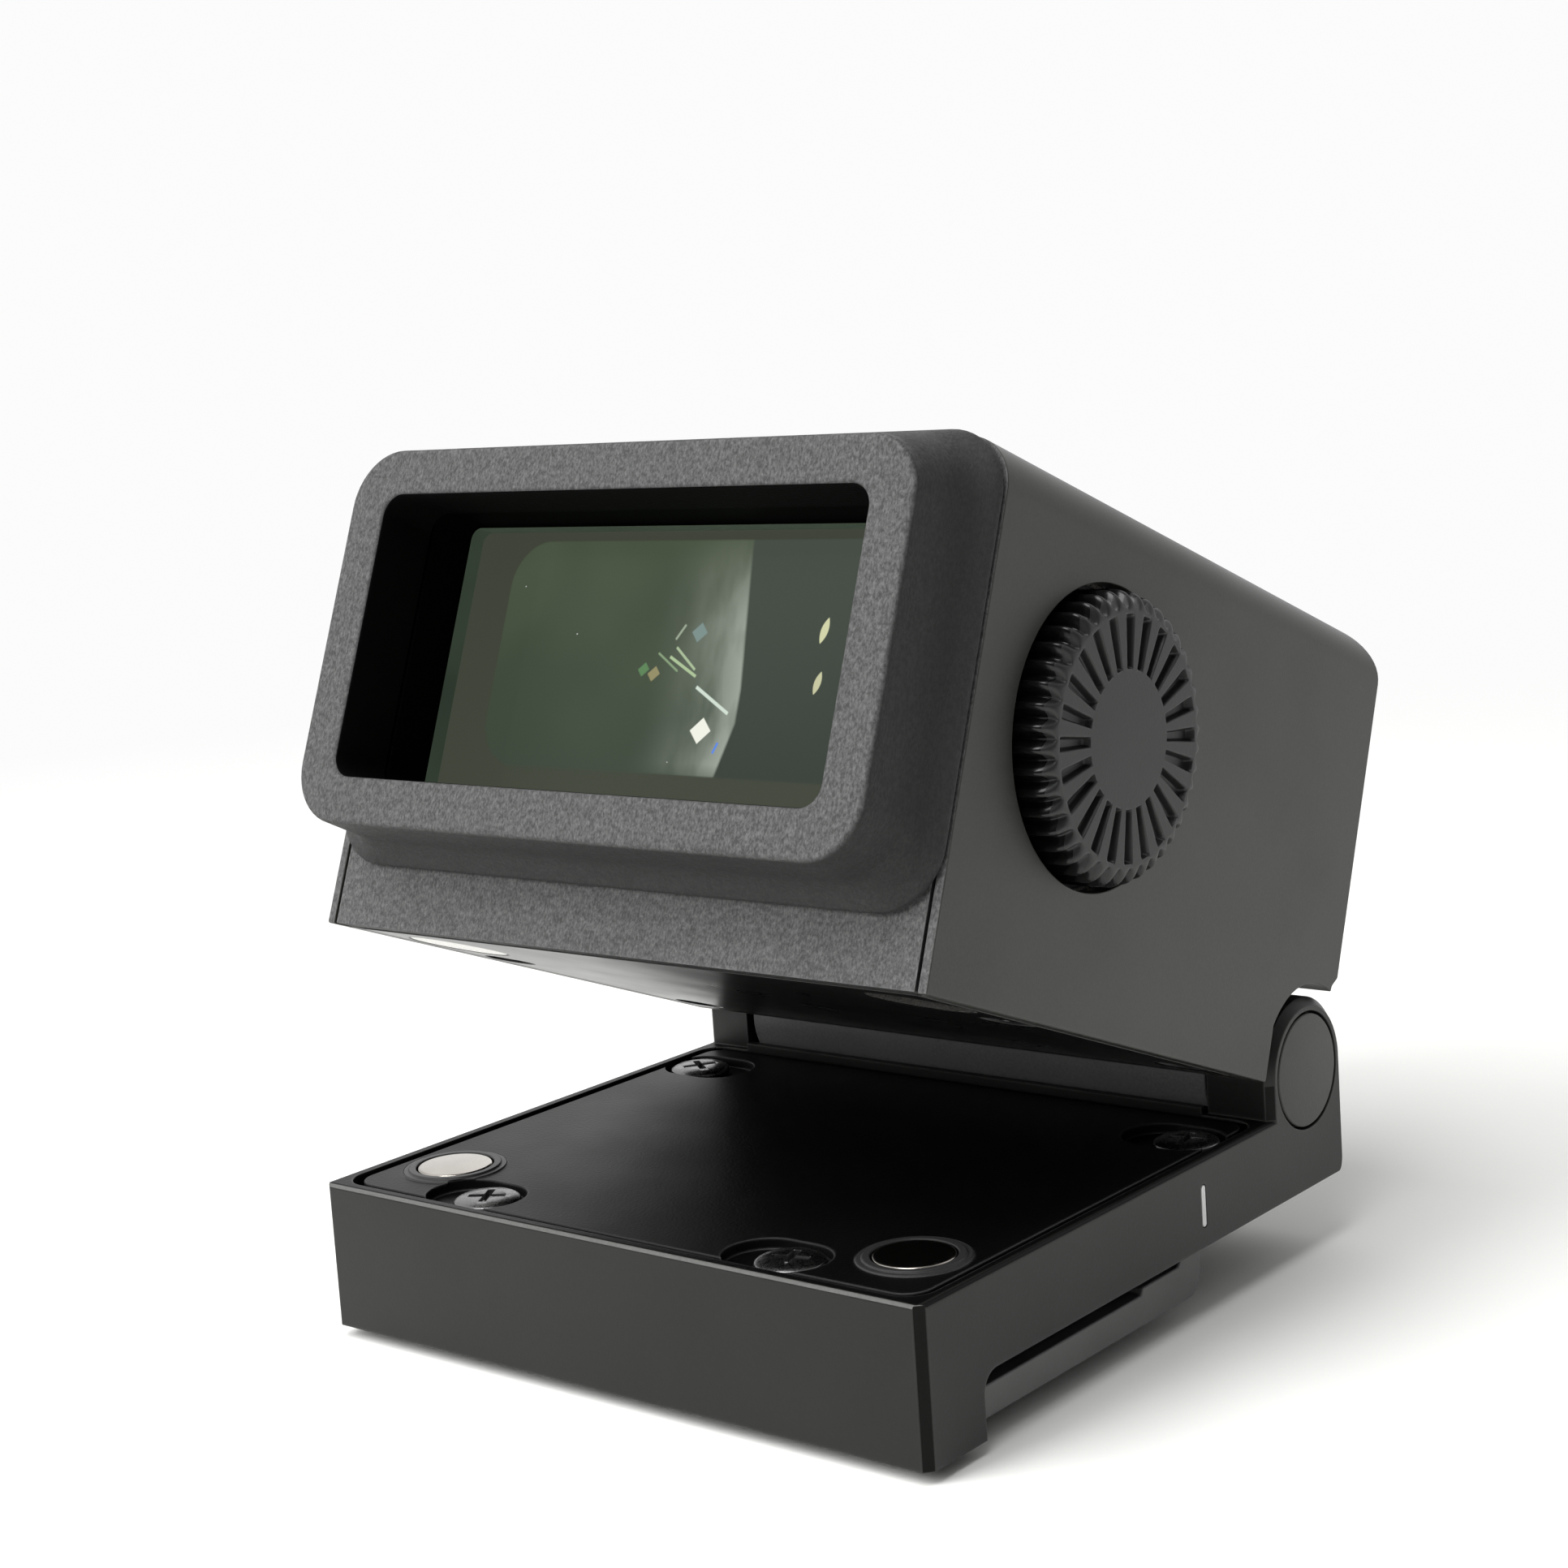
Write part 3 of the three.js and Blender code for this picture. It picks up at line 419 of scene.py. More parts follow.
def speckled(name, lit_front_tone, shaded_side_tone, last=1.0):
    """A coarse speckled coat. Faces to the front and upwards, no further back than last, are painted lighter and
    sparkle: painted light over the coat's own speckle.
    """
    s = Shader(name)
    normal = s.add("ShaderNodeNewGeometry").outputs["Normal"]
    to_object = {"vector_type": "NORMAL", "convert_from": "WORLD", "convert_to": "OBJECT"}
    own_normal = s.add("ShaderNodeVectorTransform", {0: normal}, **to_object).outputs[0]
    split = s.add("ShaderNodeSeparateXYZ", {0: own_normal})
    # Mask of the faces that get the painted light: those to the front, and less so those upwards.
    front = s.remap(s.times(split.outputs[Y], -1.0), 0.35, 0.92)
    front = s.math("MAXIMUM", front, s.remap(split.outputs[Z], 0.35, 0.85, 0.0, 0.75))
    station = s.add("ShaderNodeSeparateXYZ", {0: s.place}).outputs[Y]
    front = s.times(front, s.remap(station, (DATUM[Y] + last) * MM, (DATUM[Y] + last - 0.4) * MM))
    fine = s.noise(0.12, detail=4.0, roughness=0.75, stretch=(1.0, 1.0, 0.55))
    coarse = s.noise(0.36, detail=2.0, roughness=0.6)
    mixed = s.math("ADD", s.times(fine, 0.75), s.times(coarse, 0.25))
    fleck = s.remap(mixed, 0.42, 0.66)
    # Lit and shaded copies of the coat: painted light on the front, painted shade on the sides.
    lit = s.blend(fleck, grey(lit_front_tone * 0.70), grey(lit_front_tone * 2.1))
    shaded_side = s.blend(fleck, grey(shaded_side_tone * 0.88), grey(shaded_side_tone * 1.25))
    base = s.blend(front, shaded_side, lit)
    # The edges are lightened: wear and a painted highlight.
    wear_and_highlight_mask = s.times(s.edge(0.20), s.remap(s.noise(1.8), 0.35, 0.75, 0.3, 1.0))
    base = s.add_wear_and_highlight(base, wear_and_highlight_mask, 0.5, 0.5, grey(lit_front_tone * 1.7))
    rough = s.remap(fleck, 0.0, 1.0, 0.70, 0.50)
    return s.surface(base, rough, s.bump(fine, 0.030), Specular_IOR_Level=0.3)


def moulded(name, tone, rough, grain=0.22, depth=0.006, wear_and_highlight_share=0.2, rub_and_highlight_tone=None, shine=0.5):
    """A moulded plastic piece with a light spark texture, its edges lightened towards a paler edge tone, which is
    both wear and a painted highlight.
    """
    s = Shader(name)
    fine = s.noise(grain, detail=2.0)
    drift = s.remap(s.noise(6.0), 0.3, 0.7)
    base = s.blend(drift, grey(tone * 0.85), grey(tone * 1.15))
    base = s.add_wear_and_highlight(base, s.edge(0.15), wear_and_highlight_share, 0.5, grey(rub_and_highlight_tone or tone * 3))
    polish = s.remap(s.noise(6.0, detail=3.0), 0.3, 0.7, rough - 0.03, rough + 0.03)
    return s.surface(base, polish, s.bump(fine, depth), Specular_IOR_Level=shine)


def metal(name, color, rough, depth=0.002):
    s = Shader(name)
    fine = s.noise(0.12, detail=3.0)
    tint = s.blend(s.remap(s.noise(2.0), 0.3, 0.7), [c * 0.88 for c in color], color)
    polish = s.remap(fine, 0.3, 0.7, rough - 0.07, rough + 0.09)
    return s.surface(tint, polish, s.bump(fine, depth), Metallic=1.0)


LOOK = {
    "shell": coated("shell_coat", 0.026, 0.46, warm=0.05, grain=0.14),
    # The base's edge tone paints a highlight along the walls' top edges, as well as wear.
    "base_shell": coated("base_coat", 0.0055, 0.44, warm=0.03, wear_and_highlight_share=0.8, rub_and_highlight_tone=0.07, shine=0.36),
    # Painted shade: a darker, duller coat for the upright corner chamfers, standing in for the dark they mirror.
    "base_chamfer_painted_shade": coated("base_chamfer_painted_shade", 0.0032, 0.35, warm=0.03, wear_and_highlight_share=0.2, shine=0.10),
    # A painted highlight: a much lighter coat for the base's rounded front top edge.
    "base_edge_painted_highlight": coated("base_edge_painted_highlight", 0.085, 0.42, warm=0.02, grain=0.20, depth=0.010, wear_and_highlight_share=0.6),
    # The barrel's coat is painted lighter than the shell's: painted light in the shade under the head.
    "barrel": coated("barrel_coat_painted_lighter", 0.110, 0.46, grain=0.14),
    # These two coats are painted lighter, with sparkle, on faces to the front and upwards: painted light.
    "grain": speckled("grain_coat_painted_lit_front", 0.072, 0.020),
    "cup": speckled("cup_rubber_painted_lit_front", 0.060, 0.022, last=EYECUP_FRONT + 0.7),
    "tunnel": moulded("cup_inside", 0.0012, 0.75, grain=0.20, depth=0.020, wear_and_highlight_share=0.0, shine=0.08),
    # The plate's edge tone paints a highlight along its edges, as well as wear.
    "plate": moulded("plate_black", 0.002, 0.42, grain=0.16, depth=0.016, wear_and_highlight_share=1.2, rub_and_highlight_tone=0.09, shine=0.18),
    "plate_rim": coated("plate_rim", 0.020, 0.45),
    "black": moulded("inner_black", 0.008, 0.45),
    "gloss": moulded("gloss_black", 0.004, 0.30, depth=0.004, shine=0.32),
    "dial": moulded("dial_face", 0.009, 0.44, grain=0.16, depth=0.008, wear_and_highlight_share=0.9, rub_and_highlight_tone=0.05),
    "dial_rim": moulded("dial_side", 0.003, 0.22, grain=0.16, depth=0.003, shine=0.4),
    "steel": metal("steel", (0.60, 0.58, 0.55), 0.28),
    "dark_steel": metal("dark_nickel", (0.22, 0.22, 0.22), 0.30),
    "nickel": metal("nickel_plate", (0.50, 0.47, 0.43), 0.17, depth=0.0004),
    "gold": metal("gold_flash", (0.85, 0.62, 0.25), 0.22),
    "board": moulded("solder_mask", 0.05, 0.4),
    "flex": moulded("polyimide", 0.20, 0.35),
    "mark": moulded("mark_fill", 0.78, 0.6, wear_and_highlight_share=0.0),
    "guard": moulded("guard_plastic", 0.062, 0.32),
    "lens": moulded("coated_lens", 0.010, 0.05, wear_and_highlight_share=0.0),
    "clear": moulded("inner_glass", 0.02, 0.05),
    "surround": moulded("surround_black", 0.0008, 0.60, grain=0.15, wear_and_highlight_share=0.0, shine=0.03),
    "screen": moulded("display_face", 0.01, 0.12),
    "reflector": moulded("light_guide", 0.6, 0.3, wear_and_highlight_share=0.0),
}

# ---------------- base
WALL_TOP = HINGE_Z - 1.82
REBATE_WALL = 0.65  # what the cover plate's recess leaves of the walls
EAR_RADIUS = 3.8
EAR_LEFT, EAR_RIGHT = -15.9, 15.2  # inner faces of the ears
CORNER_CUT = 0.42  # chamfer on the upright edges of the sides
SKIRT_DEPTH = 4.34
FILLET, HEEL = 1.0, 0.8  # radii behind the skirt and at the lower rear edge
RIB = (30.05, 30.5)  # front and rear of the rib behind the cover plate
PLATE_TOP = WALL_TOP - 0.08
CAP_RADIUS = 2.97
TOP_EDGE = 0.26  # rounding of the walls' outer top edges
FINE_EDGE = 0.05  # rounding of the base's other edges


def underside(inset=0.0):
    """The lower part of the base's side outline, from the front edge to the rear."""
    heel = arc((0, 0), 1, 270, 360, 8)
    return (
        [(inset, -SKIRT_DROP), (SKIRT_DEPTH, -SKIRT_DROP)]
        + arc((SKIRT_DEPTH + FILLET, -FILLET), FILLET, 180, 90, 8)
        + [(DEPTH - HEEL + (HEEL - inset) * a, HEEL + HEEL * b) for a, b in heel]
    )


def side_plate(inner, outer):
    """One side of the base with its hinge ear. Its upright edges are cut back at the outer face."""

    def outline(inset):
        radius = EAR_RADIUS - inset
        return (
            underside(inset)
            + arc((HINGE_Y, HINGE_Z), radius, 0, 180, 60)
            + [(HINGE_Y - radius, WALL_TOP), (inset, WALL_TOP)]
        )

    side = math.copysign(1, outer)
    body = bmesh.new()
    rings = [
        [body.verts.new((at, a, b)) for a, b in outline(inset)]
        for at, inset in ((inner, 0), (outer - side * CORNER_CUT, 0), (outer, CORNER_CUT))
    ]
    close_rings(body, rings)
    return body


def tray_edge_width(middle):
    x, y, z = middle
    outer = abs(x) > HALF - 0.02 or y < 0.02
    return TOP_EDGE if outer and z > WALL_TOP - 0.01 and y < RIB[0] else FINE_EDGE


def build_tray():
    wall, floor = 1.1, 1.2
    inner = HALF - REBATE_WALL
    high = WALL_TOP + 1
    rebate = rounded((-inner, REBATE_WALL), (inner, RIB[0]), 1.4, 12)
    rib = block((EAR_LEFT + 0.15, RIB[0], 0.6), (EAR_RIGHT - 0.15, RIB[1], WALL_TOP + 0.4))
    mark = Box("index_mark")
    slot = rounded((mark.low[Y] - 0.05, mark.low[Z] - 0.05), (mark.high[Y] + 0.05, mark.high[Z] + 0.05), 0.2)
    connector = Box("connector_block")
    room = Vector((0.15, 0.15, 0.15))
    pocket = block(connector.low - room, connector.high + room + Vector((0, 5, 0)))
    recesses = [
        rod(X, (HINGE_Y, HINGE_Z), CAP_RADIUS + 0.13, *sorted((s * (HALF - 0.7), s * (HALF + 1))), 96)
        for s in (-1, 1)
    ]
    middle = underside() + [(DEPTH, WALL_TOP), (0, WALL_TOP)]
    tray = carved(
        "base_tray_shell", prism(X, middle, -HALF + CORNER_CUT + 0.1, HALF - CORNER_CUT - 0.1),
        add=[rib],
        cut=[
            block((EAR_LEFT, RIB[1], floor), (EAR_RIGHT, DEPTH - wall, high)),
            rod(X, (HINGE_Y, HINGE_Z), EAR_RADIUS + 0.05, EAR_LEFT, EAR_RIGHT, 96),
        ],
    )
    combine(tray, [side_plate(EAR_LEFT, -HALF), side_plate(EAR_RIGHT, HALF)], "UNION")
    combine(tray, [
        prism(Z, rebate, PLATE.low[Z] - 0.15, high),
        block((-HALF + wall, wall, floor), (HALF - wall, RIB[0] - 0.3, high)),
        prism(X, slot, HALF - 0.15, HALF + 1),
        pocket,
        *recesses,
    ], "DIFFERENCE")
    soften(tray, TOP_EDGE, segments=4, widths=tray_edge_width)
    piece(tray, "base", "base_shell", "base_tray")

    def wall_top(face, middle):
        return face.normal[Z] > 0.99 and near(middle[Z], WALL_TOP)

    def front_top_edge(face, middle):
        return middle[Y] < 0.25 and -0.95 < face.normal[Y] < -0.2 and face.normal[Z] > 0.3

    def corner_chamfer(face, middle):
        slanted = 0.5 < abs(face.normal[X]) < 0.85 and face.area > 0.1 * MM ** 2
        return slanted and abs(middle[X]) > HALF - CORNER_CUT

    repaint(tray, "plate", wall_top)
    # The rounded front top edge gets the painted highlight's coat.
    repaint(tray, "base_edge_painted_highlight", front_top_edge)
    # The upright corner chamfers get the painted shade's coat.
    repaint(tray, "base_chamfer_painted_shade", corner_chamfer)


POCKET_RADIUS, POCKET_DEPTH, POCKET_REACH = 2.0, 0.55, 1.5


def pocket_outline(place):
    """The outline round a cover screw: longer towards -X, but towards +X at the rear left."""
    x, y, _ = Box(f"cover_screw_{place}").mid
    x0, x1 = (x, x + POCKET_REACH) if place == "rear_left" else (x - POCKET_REACH, x)
    r = POCKET_RADIUS
    return rounded((x0 - r, y - r), (x1 + r, y + r), r, 20)


RING_STEPS = ((2.68, 0.08), (2.40, 0.18))  # radius and height of the raised rings round a magnet


def build_cover_plate():
    gap = 0.42
    x = HALF - REBATE_WALL - gap
    outline = rounded((-x, REBATE_WALL + gap), (x, PLATE.high[Y]), 1.3, 12)
    rings, cuts = [], []
    for magnet in (Box(f"magnet_{side}") for side in SIDES):
        centre, seat = magnet.mid[:2], magnet.size[X] / 2 + 0.07
        rings += [rod(Z, centre, r, PLATE_TOP - 0.4, PLATE_TOP + height, 96) for r, height in RING_STEPS]
        cuts.append(rod(Z, centre, seat, PLATE.low[Z] - 1, PLATE_TOP + 1, 96))
    cuts += [prism(Z, pocket_outline(place), PLATE_TOP - POCKET_DEPTH, PLATE_TOP + 1) for place in CORNERS]
    plate = carved("base_cover", prism(Z, outline, PLATE.low[Z], PLATE_TOP), add=rings, cut=cuts)
    soften(plate, 0.07)
    piece(plate, "base", "plate", "base_cover_plate")
    repaint(plate, "plate_rim", lambda face, middle: middle[Z] > PLATE_TOP + 0.02)


def build_screw(name, body, turn):
    """A pan-head screw with a cross recess. The cover plate's face up, the others down."""
    box = Box(name)
    radius, tall = box.size[X] / 2, 0.45
    top, sign = (box.high[Z], -1) if name.startswith("cover") else (box.low[Z], 1)
    stations = [(0.02, 0), (radius * 0.55, 0), (radius * 0.85, 0.05), (radius * 0.97, 0.16), (radius, 0.30)]
    shank = radius * 0.5
    stations += [(radius, tall), (shank, tall), (shank, box.size[Z] - 0.1), (0.02, box.size[Z] - 0.1)]
    centre = box.mid[:2]
    screw = mesh_object(f"{name}_head", turned(Z, centre, [(r, top + sign * at) for r, at in stations], 48))
    arms = []
    for i in range(2):
        arm = block((-radius * 0.56, -radius * 0.11, -tall * 0.8), (radius * 0.56, radius * 0.11, tall * 0.8))
        bmesh.ops.rotate(arm, matrix=Matrix.Rotation(turn + i * math.pi / 2, 3, "Z"), verts=arm.verts)
        bmesh.ops.translate(arm, vec=(*centre, top), verts=arm.verts)
        arms.append(arm)
    combine(screw, arms, "DIFFERENCE")
    soften(screw, 0.03, segments=2)
    piece(screw, body, "dark_steel", name)


def build_fasteners():
    draw = random.Random(7)
    for prefix, body in (("cover", "base"), ("foot", "base"), ("head", "head")):
        for place in CORNERS:
            build_screw(f"{prefix}_screw_{place}", body, draw.uniform(0.1, 1.4))


def disc_profile(radius, low, high, edge, steps=5):
    """Half section of a disc whose two rims are rounded."""
    upper = [(radius - edge + edge * math.cos(t), high - edge + edge * math.sin(t))
             for t in (math.pi / 2 * i / steps for i in range(steps + 1))]
    lower = [(r, low + high - at) for r, at in reversed(upper)]
    return [(0.02, low)] + lower + upper + [(0.02, high)]


def build_disc(node, name, axis, body, look, edge, radius=None):
    """A round piece across the axis, as wide as its CAD node unless a radius is given."""
    box = Box(node)
    centre = [box.mid[i] for i in (X, Y, Z) if i != axis]
    outline = disc_profile(radius or box.size[X] / 2, box.low[axis], box.high[axis], edge)
    made = mesh_object(name, turned(axis, centre, outline))
    smooth(made)
    piece(made, body, look, node)


def build_discs():
    for side in SIDES:
        build_disc(f"magnet_{side}", f"magnet_{side}_disc", Z, "base", "nickel", 0.16)
        build_disc(f"hinge_cap_{side}", f"hinge_cap_{side}_disc", X, "base", "shell", 0.10, CAP_RADIUS)
        build_disc(f"strike_disc_{side}", f"strike_disc_{side}_plate", Z, "head", "steel", 0.10)


def build_mark():
    mark = Box("index_mark")
    outline = rounded((mark.low[Y], mark.low[Z]), (mark.high[Y], mark.high[Z]), 0.16, 10)
    made = mesh_object("index_mark_fill", prism(X, outline, mark.low[X], mark.high[X]))
    soften(made, 0.03, segments=2)
    piece(made, "base", "mark", "index_mark")


SOLE_THICKNESS, FOOT_NECK = 1.9, 6.2  # the neck is a half width


def build_foot():
    foot = Box("shoe_foot")
    sole = rounded(foot.low[:2], foot.high[:2], 1.2, 10)
    screws = [Box(f"foot_screw_{place}") for place in CORNERS]
    wells = [rod(Z, screw.mid[:2], 1.4, foot.low[Z] - 1, foot.low[Z] + 0.9, 48) for screw in screws]
    neck = block(
        (-FOOT_NECK, foot.low[Y] + 0.1, foot.low[Z] + 0.5), (FOOT_NECK, foot.high[Y] - 0.1, foot.high[Z])
    )
    start = prism(Z, sole, foot.low[Z], foot.low[Z] + SOLE_THICKNESS)
    made = carved("shoe_foot_plate", start, add=[neck], cut=wells)
    soften(made, 0.15)
    piece(made, "base", "steel", "shoe_foot")


def build_guard():
    """The slip-on foot guard, open towards the front."""
    guard = Box("foot_guard")
    front, rear, low, high = guard.low[Y], guard.high[Y], guard.low[Z], guard.high[Z]
    top, corner, room = high - 0.65, 1.2, 0.25
    side = (
        [(front, low)]
        + arc((rear - corner, low + corner), corner, 270, 360, 10)
        + [(rear, high), (rear - 1.9, high), (rear - 2.1, high - 0.3), (rear - 5.4, high - 0.3)]
        + [(rear - 5.5, top), (front, top)]
    )
    foot = Box("shoe_foot")
    end, neck, sole_top = foot.high[Y] + room, FOOT_NECK + room, foot.low[Z] + SOLE_THICKNESS + room
    made = carved(
        "foot_guard_slip", prism(X, side, guard.low[X], guard.high[X]),
        cut=[
            block((foot.low[X] - room, -1, -5), (foot.high[X] + room, end, sole_top)),
            block((-neck, -2, -6), (neck, end - 0.02, 3)),
        ],
    )
    soften(made, 0.12)
    piece(made, "foot_guard", "guard", "foot_guard")


# ---------------- head
def build_housing():
    low, high = HOUSING.low, HOUSING.high
    heel, heel_top = 30.05, 11.4  # the bottom's rear edge and the rear's lower edge
    notch = 4.5  # radius of the cut round the hinge
    start = 180 - math.degrees(math.acos((HINGE_Y - heel) / notch))
    profile = (
        [(low[Y], low[Z]), (heel, low[Z])]
        + arc((HINGE_Y, HINGE_Z), notch, start, 72, 40)
        + [(high[Y] - 0.5, heel_top - 0.5), (high[Y], heel_top), (high[Y], high[Z]), (low[Y], high[Z])]
    )
    body = prism(X, profile, -HALF, HALF)

    def on_top(edge):
        a, b = (vertex.co for vertex in edge.verts)
        level = near(a[Z], high[Z]) and near(b[Z], high[Z])
        return level and not (near(a[Y], low[Y]) and near(b[Y], low[Y]))

    edges = [edge for edge in body.edges if on_top(edge)]
    bmesh.ops.bevel(body, geom=edges, offset=2.65, segments=14, profile=0.5, affect="EDGES")
    shell = mesh_object("head_shell", body)
    wall, inner = 1.2, notch + 1.2
    begin = 180 - math.degrees(math.acos((HINGE_Y - heel + wall) / inner))
    cavity = (
        [(low[Y] - 1, low[Z] - 1), (heel - wall, low[Z] - 1)]
        + arc((HINGE_Y, HINGE_Z), inner, begin, 82, 24)
        + [(high[Y] - wall, high[Z] - wall - 2), (high[Y] - wall - 2, high[Z] - wall)]
        + [(low[Y] - 1, high[Z] - wall)]
    )
    rim = 0.5  # what the front panel's seat leaves of the walls
    seat = rounded((-HALF + rim, low[Z] - 8), (HALF - rim, high[Z] - rim), 2.3, 12)
    dial = Box("dioptre_dial")
    combine(shell, [
        prism(X, cavity, -HALF + wall, HALF - wall),
        prism(Y, seat, low[Y] - 1, 1.1),
        rod(X, dial.mid[1:], DIAL_RADIUS + 0.3, HALF - 2, HALF + 1, 128),
    ], "DIFFERENCE")
    soften(shell, 0.16, widths=lambda middle: 0.16 if middle[X] < HALF - 0.6 and middle[Y] > 2 else 0.07)
    piece(shell, "head", "shell", "head_housing")
    repaint(shell, "grain", lambda face, middle: face.normal[Y] < -0.9 and middle[Y] < 0.1)


def build_front_panel():
    panel = Box("front_panel")
    outline = rounded((panel.low[X], panel.low[Z] - 3), (panel.high[X], panel.high[Z]), 2.15, 12)
    lower = block((-HALF, -2, panel.low[Z] - 5), (HALF, 3, panel.low[Z]))
    room = 0.2
    low, high = (BEZEL.low[X] - room, BEZEL.low[Z] - room), (BEZEL.high[X] + room, BEZEL.high[Z] + room)
    opening = rounded(low, high, 0.8)
    start = prism(Y, outline, panel.low[Y], panel.high[Y])
    made = carved("front_panel_plate", start, cut=[lower, prism(Y, opening, -2, 2)])
    soften(made, 0.04, segments=2)
    piece(made, "head", "grain", "front_panel")


def build_bottom_plate():
    plate = Box("bottom_plate")
    below = plate.low[Z] - 1
    wells = []
    for strike in (Box(f"strike_disc_{side}") for side in SIDES):
        wells.append(rod(Z, strike.mid[:2], strike.size[X] / 2 + 0.08, below, strike.high[Z] + 0.05))
    for screw in (Box(f"head_screw_{place}") for place in CORNERS):
        wells.append(rod(Z, screw.mid[:2], screw.size[X] / 2 + 0.12, below, plate.low[Z] + 0.8, 48))
    made = carved("bottom_cover", block(plate.low, plate.high), cut=wells)
    soften(made, 0.08)
    piece(made, "head", "gloss", "bottom_plate")


def build_barrel():
    barrel = Box("hinge_barrel")
    radius, land_radius, bore = 3.55, 4.35, 1.56
    at, low, high = (HINGE_Y, HINGE_Z), barrel.low[X], barrel.high[X]
    land = arc(at, land_radius, 74, 158, 30) + arc(at, radius - 0.8, 158, 74, 30)
    made = carved(
        "hinge_barrel_tube", rod(X, at, radius, low, high, 96),
        add=[prism(X, land, low + 0.4, high - 0.4)], cut=[rod(X, at, bore, low - 1, high + 1)],
    )
    soften(made, 0.12)
    piece(made, "head", "barrel", "hinge_barrel")


# The eyecup's outlines across: (half width, low, high, corner radius)
FLANGE = (18.93, 8.30, 30.18, 3.2)
CUP_FRONT = (17.78, 9.60, 28.72, 2.95)
TUNNEL = (15.3, 12.0, 26.35, 1.1)
CUP_SOFT, LIP = 0.30, 0.22  # rounding of the front's outer and inner edge
FLANGE_FRONT, TUNNEL_END = -0.64, -1.62


def grown(outline, by):
    half, low, high, corner = outline
    return half + by, low - by, high + by, corner + by


def eyecup_sections():
    """(station, outline) from the flange forward, over the front and back inside."""
    sections = [
        (-0.22, (18.80, 8.45, 30.05, 3.1)),
        (-0.30, FLANGE),
        (-0.50, FLANGE),
        (FLANGE_FRONT, (18.87, 8.38, 30.12, 3.2)),
    ]
    half, low, high, corner = CUP_FRONT
    steps = 16
    for i in range(1, steps + 1):
        t = i / steps
        flare = max(0.0, 1 - 2.4 * t) ** 2.2
        draft = 1 - t
        station = FLANGE_FRONT + (EYECUP_FRONT + CUP_SOFT - FLANGE_FRONT) * t
        sections.append((station, (
            half + 0.12 * draft + 0.97 * flare, low - 0.42 * draft - 0.80 * flare,
            high + 1.32 * draft + 0.08 * flare, corner + 0.25 * draft,
        )))
    for i in range(1, 9):
        t = math.pi / 2 * i / 8
        station = EYECUP_FRONT + CUP_SOFT * (1 - math.sin(t))
        sections.append((station, grown(CUP_FRONT, -CUP_SOFT * (1 - math.cos(t)))))
    for i in range(6):
        t = math.pi / 2 * i / 5
        station = EYECUP_FRONT + LIP * (1 - math.cos(t))
        sections.append((station, grown(TUNNEL, LIP * (1 - math.sin(t)))))
    sections.append((TUNNEL_END, TUNNEL))
    behind = grown((BEZEL.high[X], BEZEL.low[Z], BEZEL.high[Z], 0.65), 0.15)
    return sections + [(TUNNEL_END, behind), (-0.25, behind)]


def build_eyecup():
    outlines = [
        (station, rounded((-half, low), (half, high), corner, 12))
        for station, (half, low, high, corner) in eyecup_sections()
    ]
    made = mesh_object("eyecup", loft(outlines, ends=False))
    smooth(made, 50)
    piece(made, "head", "cup", "eyecup_frame")
    half, low, high, _ = grown(TUNNEL, 0.25)

    def inside(face, middle):
        x, y, z = middle
        return abs(x) < half and low < z < high and y > EYECUP_FRONT + 0.12

    repaint(made, "tunnel", inside)


SHELF = 1.95  # how far back the well goes round the window's aperture
APERTURE = ((-12.3, 14.2), (12.3, 25.8), 2.4)  # low and high corner, and corner radius


def build_bezel():
    inner = BEZEL.high[X] - 0.6
    outer = rounded((BEZEL.low[X], BEZEL.low[Z]), (BEZEL.high[X], BEZEL.high[Z]), 0.7, 8)
    well = rounded((-inner, BEZEL.low[Z] + 0.7), (inner, BEZEL.high[Z] - 0.35), 0.8, 8)
    aperture = rounded(*APERTURE, 12)
    sensor = Box("eye_sensor")
    gap = 0.15
    port = block(
        (sensor.low[X] - gap, 1.5, sensor.low[Z] - gap), (sensor.high[X] + gap, 4, sensor.high[Z] + gap)
    )
    made = carved(
        "window_surround", prism(Y, outer, BEZEL.low[Y], BEZEL.high[Y]),
        cut=[prism(Y, well, BEZEL.low[Y] - 1, SHELF), prism(Y, aperture, 0, 5), port],
    )
    soften(made, 0.08, segments=2)
    piece(made, "head", "surround", "window_bezel")


def build_window():
    pane = Box("eyepiece_window")
    outline = rounded((pane.low[X], pane.low[Z]), (pane.high[X], pane.high[Z] + 0.3), 0.6, 8)
    made = mesh_object("window_pane", prism(Y, outline, pane.low[Y], pane.high[Y] - 0.02))
    soften(made, 0.06, segments=2)
    piece(made, "head", "window", "eyepiece_window")
    repaint(made, "pane_edge_painted_glow", lambda face, middle: face.normal[Y] > -0.3)
    repaint(made, "pane_rear", lambda face, middle: face.normal[Y] > 0.9)


def lens_body(box, front_bulge, rear_bulge):
    """A rounded rectangular lens, domed at the front and the rear."""
    steps = 10
    front = [(box.low[Y] + front_bulge, -front_bulge, i / steps) for i in range(1, steps + 1)]
    rear = [(box.high[Y] - rear_bulge, rear_bulge, i / steps) for i in range(steps, 0, -1)]
    sections = []
    for rim, bulge, t in front + rear:
        a, b = box.size[X] / 2 * t, box.size[Z] / 2 * t
        outline = rounded((-a, box.mid[Z] - b), (a, box.mid[Z] + b), 1.4 * t, 8)
        sections.append((rim + bulge * (1 - t * t), outline))
    return loft(sections)


def build_lenses():
    for node, look, front, rear in (("eye_lens", "lens", 0.7, 0.3), ("field_lens", "clear", 0.4, 0.6)):
        made = mesh_object(f"{node}_glass", lens_body(Box(node), front, rear))
        smooth(made, 50)
        piece(made, "lens_carrier", look, node)


